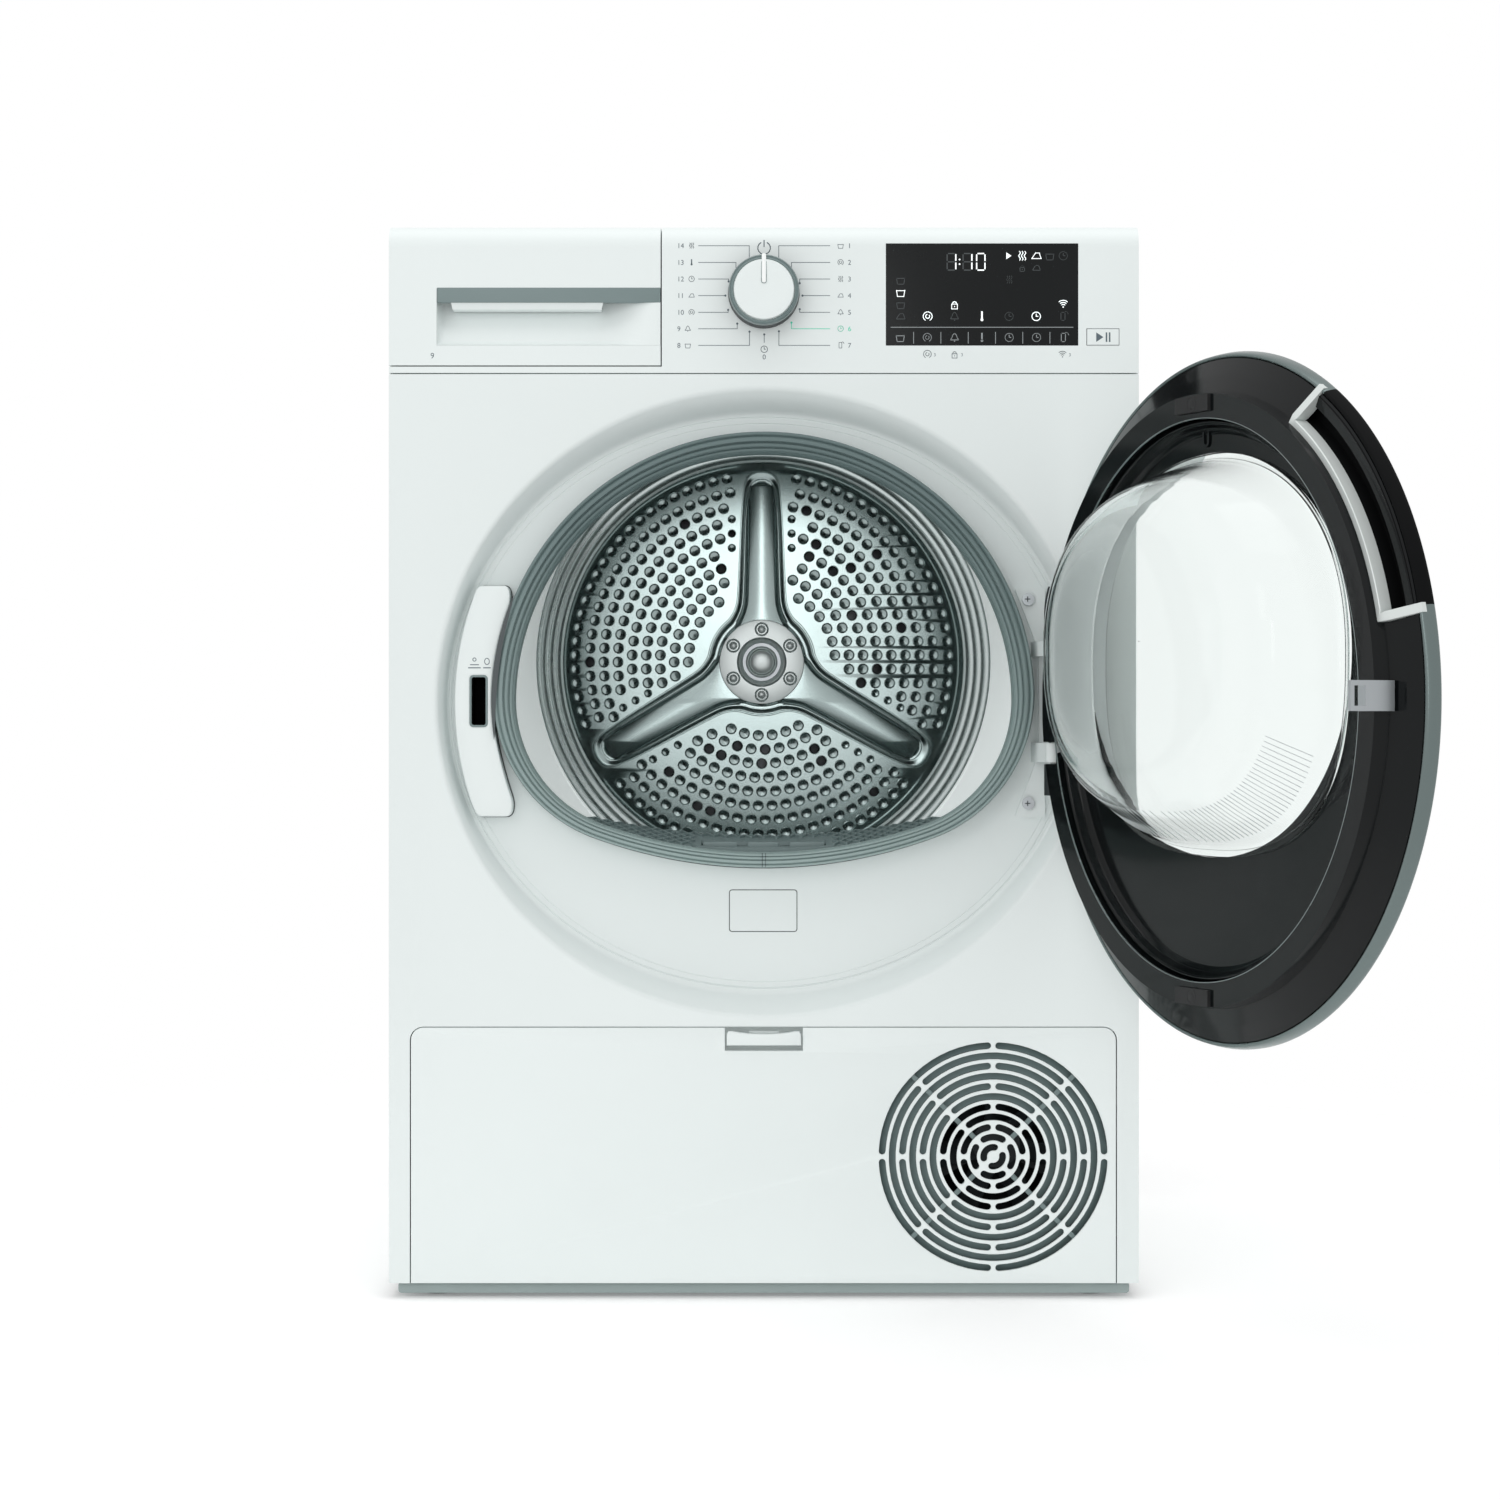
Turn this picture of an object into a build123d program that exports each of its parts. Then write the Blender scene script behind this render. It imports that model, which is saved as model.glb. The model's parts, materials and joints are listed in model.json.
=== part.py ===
from build123d import *
import math
import os

# A free-standing heat-pump clothes dryer. Millimetres; +Z up, the front faces -Y.
# The origin is on the floor, at the centre of the cabinet's width and depth.
# The door stands open at its rest pose, hinged on the right.

# --- driving dimensions -------------------------------------------------------------------
WIDTH = 597.0
DEPTH = 568.0
HEIGHT = 855.0
FRONT = -DEPTH / 2
REAR = DEPTH / 2
HALF_W = WIDTH / 2
SHEET = 1.0                     # cabinet sheet
COVER_BULGE = 20.0              # the rear duct cover stands this far behind the rear panel
REAR_SHEET = REAR - COVER_BULGE
PANEL_LOW = 12.4
PANEL_TOP = 736.0
WORKTOP_LOW = 838.0
FASCIA_LOW = 737.0
FASCIA_ROUND = 17.0
FASCIA_WALL = 2.5
FASCIA_BACK = FRONT + 34.0
KNOB_Z = 800.5

# drawer with the water tank, at the top left
DRAWER_RIGHT = -82.2
DRAWER_LOW = 743.0

# door opening
OPEN_Z = 474.6                  # height of the door's centre
RECESS_A = 259.6                # recess outline, half width and half height
RECESS_B = 249.2
FLOOR_A = 255.3                 # the same at the recess floor
FLOOR_B = 234.4
RECESS_DEPTH = 28.0
GASKET_FRONT = 6.0              # depth of the gasket's lip behind the front plane
GASKET_R = 216.6
GASKET_IN_R = 199.1
NECK_R = 187.0
BULKHEAD_DEPTH = 86.0
BULKHEAD_WALL = 3.0

# door
DOOR_ANGLE = 114.5              # how far it stands open at rest
HINGE_X = 231.0
HINGE_DEPTH = -14.5             # the hinge pin is proud of the front plane
DOOR_R = 253.5
DOOR_PROUD = 30.0
RING_R = 223.0
RING_IN_R = 204.0
RING_FACE = 3.0
WINDOW_A = 175.0
WINDOW_B = 147.0
WINDOW_UP = 33.0
HINGE_PIN_R = 4.0
RUNNING = 0.05                  # radial clearance of turning fits

# drum, in its own frame: S runs along the axis from the neck to the rear
NECK_Y = FRONT + 100.0
NECK_Z = 508.0
DRUM_TILT = 1.2
DRUM_R = 285.0
DRUM_SHEET = 1.0
THROAT_R = 166.0
BACK_S = 370.0
BACK_RIM_S = 384.0
DRUM_END_S = 388.0
AXLE_R = 12.5
BELT_S = 244.0
BELT_W = 9.0
BELT_T = 1.5
GAP = 0.3                       # between the belt, or a roller, and what it runs on
MOTOR_X = 95.0
MOTOR_T = -395.0
PULLEY_R = 12.0
IDLER_X = 20.0
IDLER_T = -360.0
IDLER_R = 22.0
ROLLER_R = 35.0
ROLLER_ANGLE = 28.0
FAN_R = 77.0

# lower front
FLAP_L = -281.0
FLAP_R = 280.3
FLAP_TOP = 215.9
FLAP_T = 2.5
GRILLE_X = 182.6
GRILLE_Z = 113.0
GRILLE_R = 88.5
GRILLE_PITCH = 8.1
GRILLE_RINGS = 11
SLOT_W = 5.0
LATCH_HALF = 29.5
LATCH_LOW = 201.9
LATCH_TOP = 213.1
COOLING_R = 60.0

# base unit
TRAY_LOW = 9.0
TRAY_T = 3.0
TRAY_TOP = TRAY_LOW + TRAY_T
DUCT_L = -248.0
DUCT_R = 38.0
DUCT_FRONT = FRONT + 34.0
DUCT_REAR = 45.0
COVERED_SCREW = 6               # this place on the rear circle is taken up by the fan duct
DUCT_TOP = 186.0
FIN_T = 1.6
TUBE_R = 5.0


# --- helpers -------------------------------------------------------------------------------
def block(x0, x1, y0, y1, z0, z1):
    return Pos((x0 + x1) / 2, (y0 + y1) / 2, (z0 + z1) / 2) * Box(x1 - x0, y1 - y0, z1 - z0)


def upright(y):
    """A sketch plane facing the viewer: sketch X is +X and sketch Y is +Z."""
    return Plane(origin=(0, y, 0), x_dir=(1, 0, 0), z_dir=(0, -1, 0))


def slab(sketch, y0, y1):
    """A sketch drawn in X and Z, as thick as from y0 back to y1."""
    return extrude(upright(y1) * sketch, amount=y1 - y0, dir=(0, -1, 0))


def ycyl(x, z, r, y0, y1):
    return slab(Pos(x, z) * Circle(r), y0, y1)


def zcyl(x, y, r, z0, z1):
    return Pos(x, y, (z0 + z1) / 2) * Cylinder(r, z1 - z0)


def frustum(low, y0, high, y1):
    """A loft between two upright sketches."""
    return loft([upright(y0) * low, upright(y1) * high])


def turned(points):
    """A ring from (radius, position) points, turned about the Y axis."""
    return revolve(make_face(Plane.XY * Polyline(*points, close=True)), Axis.Y)


def drum_frame(shape):
    """From the drum's own frame, with Y along its axis, to the dryer's."""
    return Pos(0, NECK_Y, NECK_Z) * Rot(X=DRUM_TILT) * shape


def closed_door_to_open(shape):
    """Turns what was built with the door closed about the hinge pin."""
    pin = Pos(HINGE_X, FRONT + HINGE_DEPTH, 0)
    return pin * Rot(Z=DOOR_ANGLE) * pin.inverse() * shape


def opening_outline(radius, corner, bottom, low):
    """The door opening: a circle whose lower part is a flatter arc with rounded corners."""
    reach = radius - corner
    rise = bottom - low
    span = bottom - corner
    corner_z = (reach ** 2 - span ** 2 + rise ** 2) / (2 * rise)
    corner_x = math.sqrt(reach ** 2 - corner_z ** 2)
    side = Vector(corner_x, corner_z) * (radius / reach)
    foot = Vector(corner_x, corner_z - rise) * (bottom / span) + Vector(0, rise)
    bend = Vector(corner_x, corner_z) + Vector(corner, 0).rotate(Axis.Z, -25)

    def mirror(v):
        return Vector(-v.X, v.Y)

    lines = Curve() + [
        ThreePointArc(mirror(side), (0, radius), side),
        ThreePointArc(side, bend, foot),
        ThreePointArc(foot, (0, -low), mirror(foot)),
        ThreePointArc(mirror(foot), mirror(bend), mirror(side)),
    ]
    return Pos(0, OPEN_Z) * make_face(lines)


def gasket_outline(grow=0.0):
    return opening_outline(GASKET_R + grow, 122.4 + grow, 398.0 + grow, 131.8 + grow)


def gasket_inner(grow=0.0):
    return opening_outline(GASKET_IN_R + grow, 106.0 + grow, 386.0 + grow, 119.9 + grow)


def flap_outline(grow=0.0):
    width = FLAP_R - FLAP_L + 2 * grow
    height = FLAP_TOP - PANEL_LOW + grow
    centre = Pos((FLAP_L + FLAP_R) / 2, PANEL_LOW + height / 2)
    shape = centre * Rectangle(width, height)
    top = shape.vertices().group_by(Axis.Y)[-1]
    return fillet(top, 10.0 + grow)


# --- cabinet ----------------------------------------------------------------------------------
def make_front_panel():
    face = block(-HALF_W, HALF_W, FRONT, FRONT + SHEET, PANEL_LOW, PANEL_TOP)
    outer = frustum(Pos(0, OPEN_Z) * Ellipse(RECESS_A, RECESS_B), FRONT,
                    Pos(0, OPEN_Z) * Ellipse(FLOOR_A, FLOOR_B), FRONT + RECESS_DEPTH)
    inner = frustum(Pos(0, OPEN_Z) * Ellipse(RECESS_A - SHEET, RECESS_B - SHEET), FRONT,
                    Pos(0, OPEN_Z) * Ellipse(FLOOR_A - SHEET, FLOOR_B - SHEET), FRONT + RECESS_DEPTH)
    floor = slab(Pos(0, OPEN_Z) * Ellipse(FLOOR_A, FLOOR_B), FRONT + RECESS_DEPTH - SHEET, FRONT + RECESS_DEPTH)
    panel = face - slab(Pos(0, OPEN_Z) * Ellipse(RECESS_A - SHEET, RECESS_B - SHEET), FRONT - 1, FRONT + SHEET + 1)
    panel += (outer - inner) + floor
    panel -= slab(gasket_inner(3.0), FRONT, FRONT + RECESS_DEPTH + 1)
    panel -= slab(flap_outline(0.8), FRONT - 1, FRONT + SHEET + 1)
    panel -= block(FLAP_L - 0.8, FLAP_R + 0.8, FRONT - 1, FRONT + SHEET + 1, 0, PANEL_LOW + 20)
    panel -= block(-236.5, -219.5, FRONT + 20, FRONT + 40, 451, 500)
    # turned-in top and side edges
    panel += block(-HALF_W + SHEET, HALF_W - SHEET, FRONT + SHEET, FRONT + 12, PANEL_TOP - SHEET, PANEL_TOP)
    return panel


def make_side_panel(side):
    flange = 14.0
    wall = block(HALF_W - SHEET, HALF_W, FRONT + SHEET, REAR_SHEET - SHEET, PANEL_LOW, WORKTOP_LOW - 0.2)
    front = block(HALF_W - flange, HALF_W, FRONT + SHEET, FRONT + 2 * SHEET, PANEL_LOW, PANEL_TOP - 2)
    back = block(HALF_W - flange, HALF_W, REAR_SHEET - 2 * SHEET, REAR_SHEET - SHEET, PANEL_LOW, WORKTOP_LOW - 0.2)
    top = block(HALF_W - flange, HALF_W, FASCIA_BACK + 1, REAR_SHEET - SHEET, WORKTOP_LOW - 1.2, WORKTOP_LOW - 0.2)
    # two pressed swages stiffen the wall
    panel = wall + front + back + top
    panel -= block(0, HALF_W + 1, FRONT, FASCIA_BACK + 0.5, PANEL_TOP - 0.5, HEIGHT)
    for z in (300.0, 560.0):
        swage = block(HALF_W - 4, HALF_W - 0.4, FRONT + 60, REAR_SHEET - 60, z, z + 120)
        panel += swage - block(HALF_W - 3, HALF_W, FRONT + 61, REAR_SHEET - 61, z + 1, z + 119)
        panel -= block(HALF_W - 3, HALF_W + 1, FRONT + 61, REAR_SHEET - 61, z + 1, z + 119)
    return panel if side > 0 else mirror(panel, Plane.YZ)


def make_rear_panel():
    panel = block(-HALF_W, HALF_W, REAR_SHEET - SHEET, REAR_SHEET, PANEL_LOW, WORKTOP_LOW - 0.2)
    rear_z = NECK_Z + (REAR_SHEET - NECK_Y) * math.tan(math.radians(DRUM_TILT))
    panel -= ycyl(0, rear_z, 217.5, REAR_SHEET - 2, REAR_SHEET + 1)
    panel -= ycyl(MOTOR_X, 127.0, 88.0, REAR_SHEET - 2, REAR_SHEET + 1)
    panel -= ycyl(-250.0, 60.0, 12.0, REAR_SHEET - 2, REAR_SHEET + 1)
    panel -= ycyl(-240.0, 190.0, 9.0, REAR_SHEET - 2, REAR_SHEET + 1)
    # ventilation louvres beside the compressor
    for k in range(6):
        panel -= block(205, 275, REAR_SHEET - 2, REAR_SHEET + 1, 60 + 14 * k, 65 + 14 * k)
    return panel


def cover_outline(grow):
    rear_z = NECK_Z + (REAR_SHEET - NECK_Y) * math.tan(math.radians(DRUM_TILT))
    big = Pos(0, rear_z) * Circle(228.0 + grow)
    tail = Pos(MOTOR_X, 240.0) * RectangleRounded(196.0 + 2 * grow, 430.0 + 2 * grow, 40.0)
    return big + tail


def make_rear_duct_cover():
    pan = slab(cover_outline(0), REAR_SHEET, REAR) - slab(cover_outline(-SHEET), REAR_SHEET - 1, REAR - SHEET)
    flange = slab(cover_outline(12) - cover_outline(-SHEET), REAR_SHEET, REAR_SHEET + SHEET)
    return pan + flange


def make_worktop():
    board = block(-HALF_W, HALF_W, FASCIA_BACK + 0.5, REAR_SHEET, WORKTOP_LOW, HEIGHT)
    board = fillet(board.edges().filter_by(Axis.Z).group_by(Axis.Y)[-1], 6.0)
    board -= block(-HALF_W + 12, HALF_W - 12, FASCIA_BACK + 12, REAR_SHEET - 12, WORKTOP_LOW - 1, HEIGHT - 4)
    return board


def make_base_tray():
    x, y0, y1 = 292.0, FRONT + 16, REAR_SHEET - 6
    tray = block(-x, x, y0, y1, TRAY_LOW, 34)
    tray -= block(-x + TRAY_T, x - TRAY_T, y0 + TRAY_T, y1 - TRAY_T, TRAY_TOP, 40)
    for sx in (-1, 1):
        for fy in (-240.0, 225.0):
            tray += zcyl(sx * 262, fy, 14, TRAY_LOW, 30)
            tray -= zcyl(sx * 262, fy, 4.2, 0, 40)
    # brackets that carry the flap's hinge line
    for hx in (FLAP_L + 3, FLAP_R - 15):
        tray += block(hx, hx + 12, FRONT + 11, y0 + TRAY_T, 14, 34)
    return tray


def make_levelling_feet():
    feet = []
    for sx in (-1, 1):
        for fy in (-240.0, 225.0):
            feet.append(zcyl(sx * 262, fy, 19, 0, 6) + zcyl(sx * 262, fy, 9, 6, 9) + zcyl(sx * 262, fy, 4, 9, 36))
    return Compound(children=feet)


# --- control front -------------------------------------------------------------------------------
def fascia_profile(low, back, inset=0.0):
    """The fascia's side outline, rounded back at the top, in Y and Z."""
    y0, z1, r = FRONT + inset, HEIGHT - inset, FASCIA_ROUND - inset
    lines = Curve() + [
        Line((y0, low), (y0, z1 - r)),
        RadiusArc((y0, z1 - r), (y0 + r, z1), r),
        Line((y0 + r, z1), (back, z1)),
        Line((back, z1), (back, low)),
        Line((back, low), (y0, low)),
    ]
    return make_face(lines)


def bar_of(profile, x0, x1):
    """A (Y, Z) profile drawn out along X."""
    side = Plane(origin=(x0, 0, 0), x_dir=(0, 1, 0), z_dir=(1, 0, 0))
    return extrude(side * profile, amount=x1 - x0)


def fascia_shell(x0, x1, low):
    solid = bar_of(fascia_profile(low, FASCIA_BACK), x0, x1)
    hollow = bar_of(fascia_profile(low + FASCIA_WALL, FASCIA_BACK + 1, FASCIA_WALL), x0 + FASCIA_WALL, x1 - FASCIA_WALL)
    return solid - hollow


def make_control_fascia():
    shell = fascia_shell(DRAWER_RIGHT + 1, HALF_W, FASCIA_LOW)
    strip = block(-HALF_W, DRAWER_RIGHT + 2, FRONT, FASCIA_BACK, FASCIA_LOW, DRAWER_LOW - 1)
    strip -= block(-HALF_W + 2, DRAWER_RIGHT, FRONT + 2, FASCIA_BACK + 1, FASCIA_LOW + 2, DRAWER_LOW)
    fascia = shell + strip
    fascia -= block(97.1, 250.3, FRONT - 1, FRONT + 5, 758.7, 840.1)
    fascia -= ycyl(0, KNOB_Z, 6.0, FRONT - 1, FRONT + 5)
    fascia -= block(256.8, 283.0, FRONT - 1, FRONT + 5, 758.8, 772.4)
    return fascia


def make_display_window():
    return block(97.3, 250.1, FRONT, FRONT + 2.0, 758.9, 839.9)


def make_control_board():
    board = block(90, 262, FRONT + 20, FRONT + 21.6, 748, 834)
    module = block(100, 248, FRONT + 2.5, FRONT + 20, 762, 834)
    return board + module


def make_programme_knob():
    skirt = ycyl(0, KNOB_Z, 28.5, FRONT - 5, FRONT - 0.5)
    ring = frustum(Pos(0, KNOB_Z) * Circle(26.5), FRONT - 22, Pos(0, KNOB_Z) * Circle(28.4), FRONT - 5)
    cap = ycyl(0, KNOB_Z, 23.7, FRONT - 25, FRONT - 22)
    shaft = ycyl(0, KNOB_Z, 5.5, FRONT - 0.5, FRONT + 14)
    return skirt + ring + cap + shaft


def make_start_key():
    return block(257.3, 282.5, FRONT - 0.3, FRONT + 6, 759.3, 771.9)


def make_drawer_front():
    shell = fascia_shell(-HALF_W, DRAWER_RIGHT, DRAWER_LOW)
    pocket = block(-262.4, DRAWER_RIGHT, FRONT + 1, FRONT + 22, 756.9, 806.6)
    hollow = block(-260.4, DRAWER_RIGHT + 1, FRONT - 1, FRONT + 20, 758.9, 804.6)
    back = block(-HALF_W + 2.5, DRAWER_RIGHT - 2.5, FASCIA_BACK - 2.5, FASCIA_BACK, 745.5, 852.5)
    return shell + pocket - hollow + back


def make_water_tank():
    y0, y1 = FASCIA_BACK, 205.0
    outer = block(-291, -93, y0, y1, 746, 834)
    inner = block(-288.5, -95.5, y0 + 2.5, y1 - 2.5, 748.5, 831.5)
    axis_long = 640.0
    outer -= drum_frame(Pos(0, 100, 0) * Rot(X=90) * Cylinder(DRUM_R + 9, axis_long))
    inner -= drum_frame(Pos(0, 100, 0) * Rot(X=90) * Cylinder(DRUM_R + 11.5, axis_long))
    return outer - inner


def make_tank_guide():
    floor = block(-297, -200, FASCIA_BACK + 4, 212, 742, 745.7)
    wall = block(-297, -293, FASCIA_BACK + 4, 212, 742, 830)
    stop = block(-297, -200, 208, 212, 742, 800)
    return floor + wall + stop


# --- door opening -----------------------------------------------------------------------------------
def make_opening_gasket():
    ring = slab(gasket_outline(), FRONT + GASKET_FRONT, FRONT + RECESS_DEPTH - SHEET)
    return ring - slab(gasket_inner(), FRONT, FRONT + RECESS_DEPTH)


def funnel_solid(grow):
    low = Pos(0, OPEN_Z) * Circle(GASKET_IN_R + 1 + grow)
    high = Pos(0, NECK_Z) * Circle(NECK_R + grow)
    return frustum(low, FRONT + RECESS_DEPTH + 0.2, high, FRONT + BULKHEAD_DEPTH + BULKHEAD_WALL)


def make_front_bulkhead():
    back = FRONT + BULKHEAD_DEPTH + BULKHEAD_WALL
    plate = block(-288, 288, FRONT + BULKHEAD_DEPTH, back, 205, 728)
    plate -= ycyl(0, NECK_Z, NECK_R + 1.2, FRONT + BULKHEAD_DEPTH - 1, back + 1)
    body = plate + (funnel_solid(2.5) - funnel_solid(0))
    # the lint filter's shaft runs down from the sill to the base duct
    body += block(-56, 56, FRONT + 31, FRONT + 58, DUCT_TOP + 0.3, 352)
    body -= block(-53.5, 53.5, FRONT + 33, FRONT + 56, DUCT_TOP, 360)
    # stub axles for the two support rollers, parallel to the drum's axis
    for sx in (-1, 1):
        stub = roller_at(sx) * Pos(0, 10, 0) * Rot(X=90) * Cylinder(6.0, 84)
        body += drum_frame(stub) - block(-300, 300, FRONT - 50, FRONT + BULKHEAD_DEPTH + 1, 0, 400)
    return body


def sill_sheet(thickness):
    """A shallow trough that slopes up to the rear, centred on the opening."""
    slope = math.degrees(math.atan2(11.0, 78.0))
    trough = Cylinder(643.0, 400) - Cylinder(643.0 - thickness, 401)
    return Pos(0, FRONT + 12, 355.0) * Rot(X=slope) * Pos(0, 0, 640.0) * Rot(X=90) * trough


def make_sill_grille():
    sheet = sill_sheet(3.0) & block(-172, 172, FRONT + RECESS_DEPTH + 1, FRONT + 85, 340, 420)
    sheet &= funnel_solid(-0.6)
    return sheet - block(-50.5, 50.5, FRONT + 32, FRONT + 57, 330, 380)


def make_lint_filter():
    basket = block(-49.5, 49.5, FRONT + 34, FRONT + 55, 222, 352)
    basket -= block(-47.5, 47.5, FRONT + 36, FRONT + 53, 224, 349)
    mouth = block(-40, 40, FRONT + 38, FRONT + 51, 345, 356)
    handle = block(-49.5, 49.5, FRONT + 34, FRONT + 55, 352, 358)
    return basket + handle - mouth


def strip_outline(grow=0.0):
    """The latch cover: a tall curved strip between the recess wall and the gasket."""
    outer = Pos(0, OPEN_Z) * Ellipse(FLOOR_A - 8 + grow, FLOOR_B + 12 + grow)
    inner = gasket_outline(2.0 - grow)
    band = Pos(-231, 475.85) * RectangleRounded(44 + 2 * grow, 184.7 + 2 * grow, 12.0)
    return (outer & band) - inner


def make_latch_cover():
    cover = slab(strip_outline(), FRONT + 8, FRONT + RECESS_DEPTH - SHEET)
    cover -= slab(strip_outline(-2.0), FRONT + 10, FRONT + RECESS_DEPTH)
    return cover - block(-233.3, -222.1, FRONT, FRONT + 30, 456.7, 494.9)


def make_door_lock():
    nose = block(-235.6, -220.9, FRONT + 10.2, FRONT + RECESS_DEPTH + 2, 452, 499)
    body = nose + block(-241, -212, FRONT + RECESS_DEPTH, FRONT + 60, 440, 512)
    return body - block(-233.3, -222.1, FRONT, FRONT + 45, 456.7, 494.9)


def make_hinge_bracket():
    floor = FRONT + RECESS_DEPTH - SHEET
    plate = Pos(0, OPEN_Z) * Polygon((202, 91), (205, 92), (226, 92), (226, -92), (205, -92), (202, -91),
                                     (214, -60), (221, -40), (221, 40), (214, 60), align=None)
    bracket = slab(plate, floor - 3, floor)
    pin_y = FRONT + HINGE_DEPTH
    for z0, z1 in ((511.6, 523.6), (427.2, 442.4)):
        knuckle = zcyl(HINGE_X, pin_y, 8, z0, z1)
        arm = Plane.XY.offset(z0) * Polygon((HINGE_X - 8, pin_y + 1), (HINGE_X - 2, pin_y + 7), (218.5, floor),
                                            (214.8, floor), align=None)
        bracket += knuckle + extrude(arm, amount=z1 - z0, dir=(0, 0, 1))
    return bracket + zcyl(HINGE_X, pin_y, HINGE_PIN_R, 404, 547)


# --- door, built closed --------------------------------------------------------------------------------
def at_door(shape):
    return closed_door_to_open(Pos(0, FRONT, OPEN_Z) * shape)


def make_door_rim():
    band = turned([(246, -DOOR_PROUD), (250, -DOOR_PROUD), (252.5, -29), (DOOR_R, -27), (DOOR_R - 0.5, -24),
                   (251.0, -18), (248.5, -18), (249.5, -25), (246, -26)])
    return at_door(band)


def make_door_outer_glass():
    return at_door(turned([(0, -DOOR_PROUD), (245.8, -DOOR_PROUD), (245.8, -26), (0, -26)]))


def make_door_inner_frame():
    shell = turned([(150, -12), (RING_IN_R - 1, -12), (RING_IN_R, RING_FACE), (RING_R - 1, RING_FACE),
                    (RING_R + 0.5, -8), (236, -13), (248, -18.2), (248, -25.2), (244, -25.2), (150, -25.2)])
    core = turned([(150, -14.5), (RING_IN_R + 1, -14.5), (RING_IN_R + 2.5, 0.5), (RING_R - 3, 0.5),
                   (RING_R - 2, -10), (236, -16), (245, -20.5), (245, -26), (244, -26), (150, -26)])
    frame = shell - core
    disc = Pos(0, -13.25, 0) * Rot(X=90) * Cylinder(151, 2.5)
    frame += disc
    frame -= Pos(0, 0, WINDOW_UP) * extrude(Plane.XZ * Ellipse(WINDOW_A, WINDOW_B), amount=60, both=True)
    # room for the bracket's arms and the hinge housing
    for z0, z1 in ((510.6, 524.6), (426.2, 443.4)):
        frame -= Pos(0, -FRONT, -OPEN_Z) * block(200, 262, FRONT - 17.4, FRONT + 12, z0, z1)
        frame -= Pos(HINGE_X, HINGE_DEPTH, (z0 + z1) / 2 - OPEN_Z) * Cylinder(10, z1 - z0)
    frame -= block(HINGE_X - 9.4, HINGE_X + 9.4, -26.5, 12, 400.8 - OPEN_Z, 566.2 - OPEN_Z)
    # the grip pocket on the free edge
    frame -= grip_block(-17, 6)
    return at_door(frame.solids().sort_by(SortBy.VOLUME)[-1])


def grip_block(d0, d1):
    """The finger pocket: a stretch of the ring's free edge, high on the door."""
    band = turned([(RING_R + 3, d0), (246, d0), (246, d1), (RING_R + 3, d1)])
    start, stop = math.radians(121), math.radians(166)
    far = 400.0
    wedge = Polygon((0, 0), (far * math.cos(start), far * math.sin(start)),
                    (far * math.cos(stop), far * math.sin(stop)), align=None)
    return band & extrude(Plane.XZ * wedge, amount=80, both=True)


def make_door_bowl():
    flange = Pos(0, 0, WINDOW_UP) * extrude(Plane.XZ.offset(10) * Ellipse(WINDOW_A - 1, WINDOW_B - 1), amount=4)
    wall = bowl_solid(0) - bowl_solid(3.0)
    return at_door(wall + (flange - bowl_solid(3.0)))


def bowl_solid(inset):
    """The bowl reaches into the drum; its lower side slopes to throw the laundry back."""
    def station(d, a, b, up):
        plane = Plane(origin=(0, d, 0), x_dir=(1, 0, 0), z_dir=(0, -1, 0))
        return plane * (Pos(0, up) * Ellipse(a - inset, b - inset))
    shape = loft([station(-12, 174, 146, WINDOW_UP), station(50 - inset, 150, 112, WINDOW_UP + 8)])
    return fillet(shape.edges().group_by(Axis.Y)[-1], 22.0 - inset)


def make_door_hook():
    plate = block(-229.5, -226.5, -8, 27, -8.5, 11.9)
    plate -= block(-231, -225, 15, 24, -5, 8.4)
    foot = block(-229.5, -207, RING_FACE, RING_FACE + 2.5, -8.5, 11.9)
    return at_door(plate + foot)


def make_door_bumpers():
    pads = [block(-22, 22, RING_FACE, RING_FACE + 2.6, z - 6, z + 6) for z in (214.5, -214.5)]
    return at_door(Compound(children=pads))


def make_door_hinge_housing():
    housing = None
    for z0, z1 in ((525.0, 566.0), (444.0, 510.0), (401.0, 425.6)):
        drum = zcyl(HINGE_X, FRONT + HINGE_DEPTH, 9.2, z0, z1)
        web = block(HINGE_X - 9.2, HINGE_X - 1, FRONT - 23.6, FRONT + HINGE_DEPTH, z0, z1)
        piece = drum + web
        housing = piece if housing is None else housing + piece
    housing += block(HINGE_X - 9.2, HINGE_X - 1, FRONT - 25.2, FRONT - 23.2, 401.0, 566.0)
    housing &= ycyl(0, OPEN_Z, 245.5, FRONT - 40, FRONT + 20)
    housing -= zcyl(HINGE_X, FRONT + HINGE_DEPTH, HINGE_PIN_R + RUNNING, 400, 550)
    return closed_door_to_open(housing)


# --- drum -------------------------------------------------------------------------------------------------
def make_drum_shell():
    return drum_frame(turned([(DRUM_R - DRUM_SHEET, 25.2), (DRUM_R, 25.2), (DRUM_R, DRUM_END_S),
                              (DRUM_R - DRUM_SHEET, DRUM_END_S)]))


def make_drum_front_ring():
    return drum_frame(turned([(NECK_R, -5), (NECK_R + 1.5, -4.4), (THROAT_R + 2.9, 13.4), (DRUM_R, 23.4),
                              (DRUM_R, 25.2), (THROAT_R - 0.2, 15.0)]))


def make_drum_back():
    edge = DRUM_R - DRUM_SHEET - 0.05
    pan = turned([(0, BACK_S), (184, BACK_S), (204, BACK_RIM_S), (edge, BACK_RIM_S), (edge, BACK_RIM_S + 1.5),
                  (203.4, BACK_RIM_S + 1.5), (183.4, BACK_S + 1.5), (0, BACK_S + 1.5)])
    return drum_frame(pan)


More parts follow.
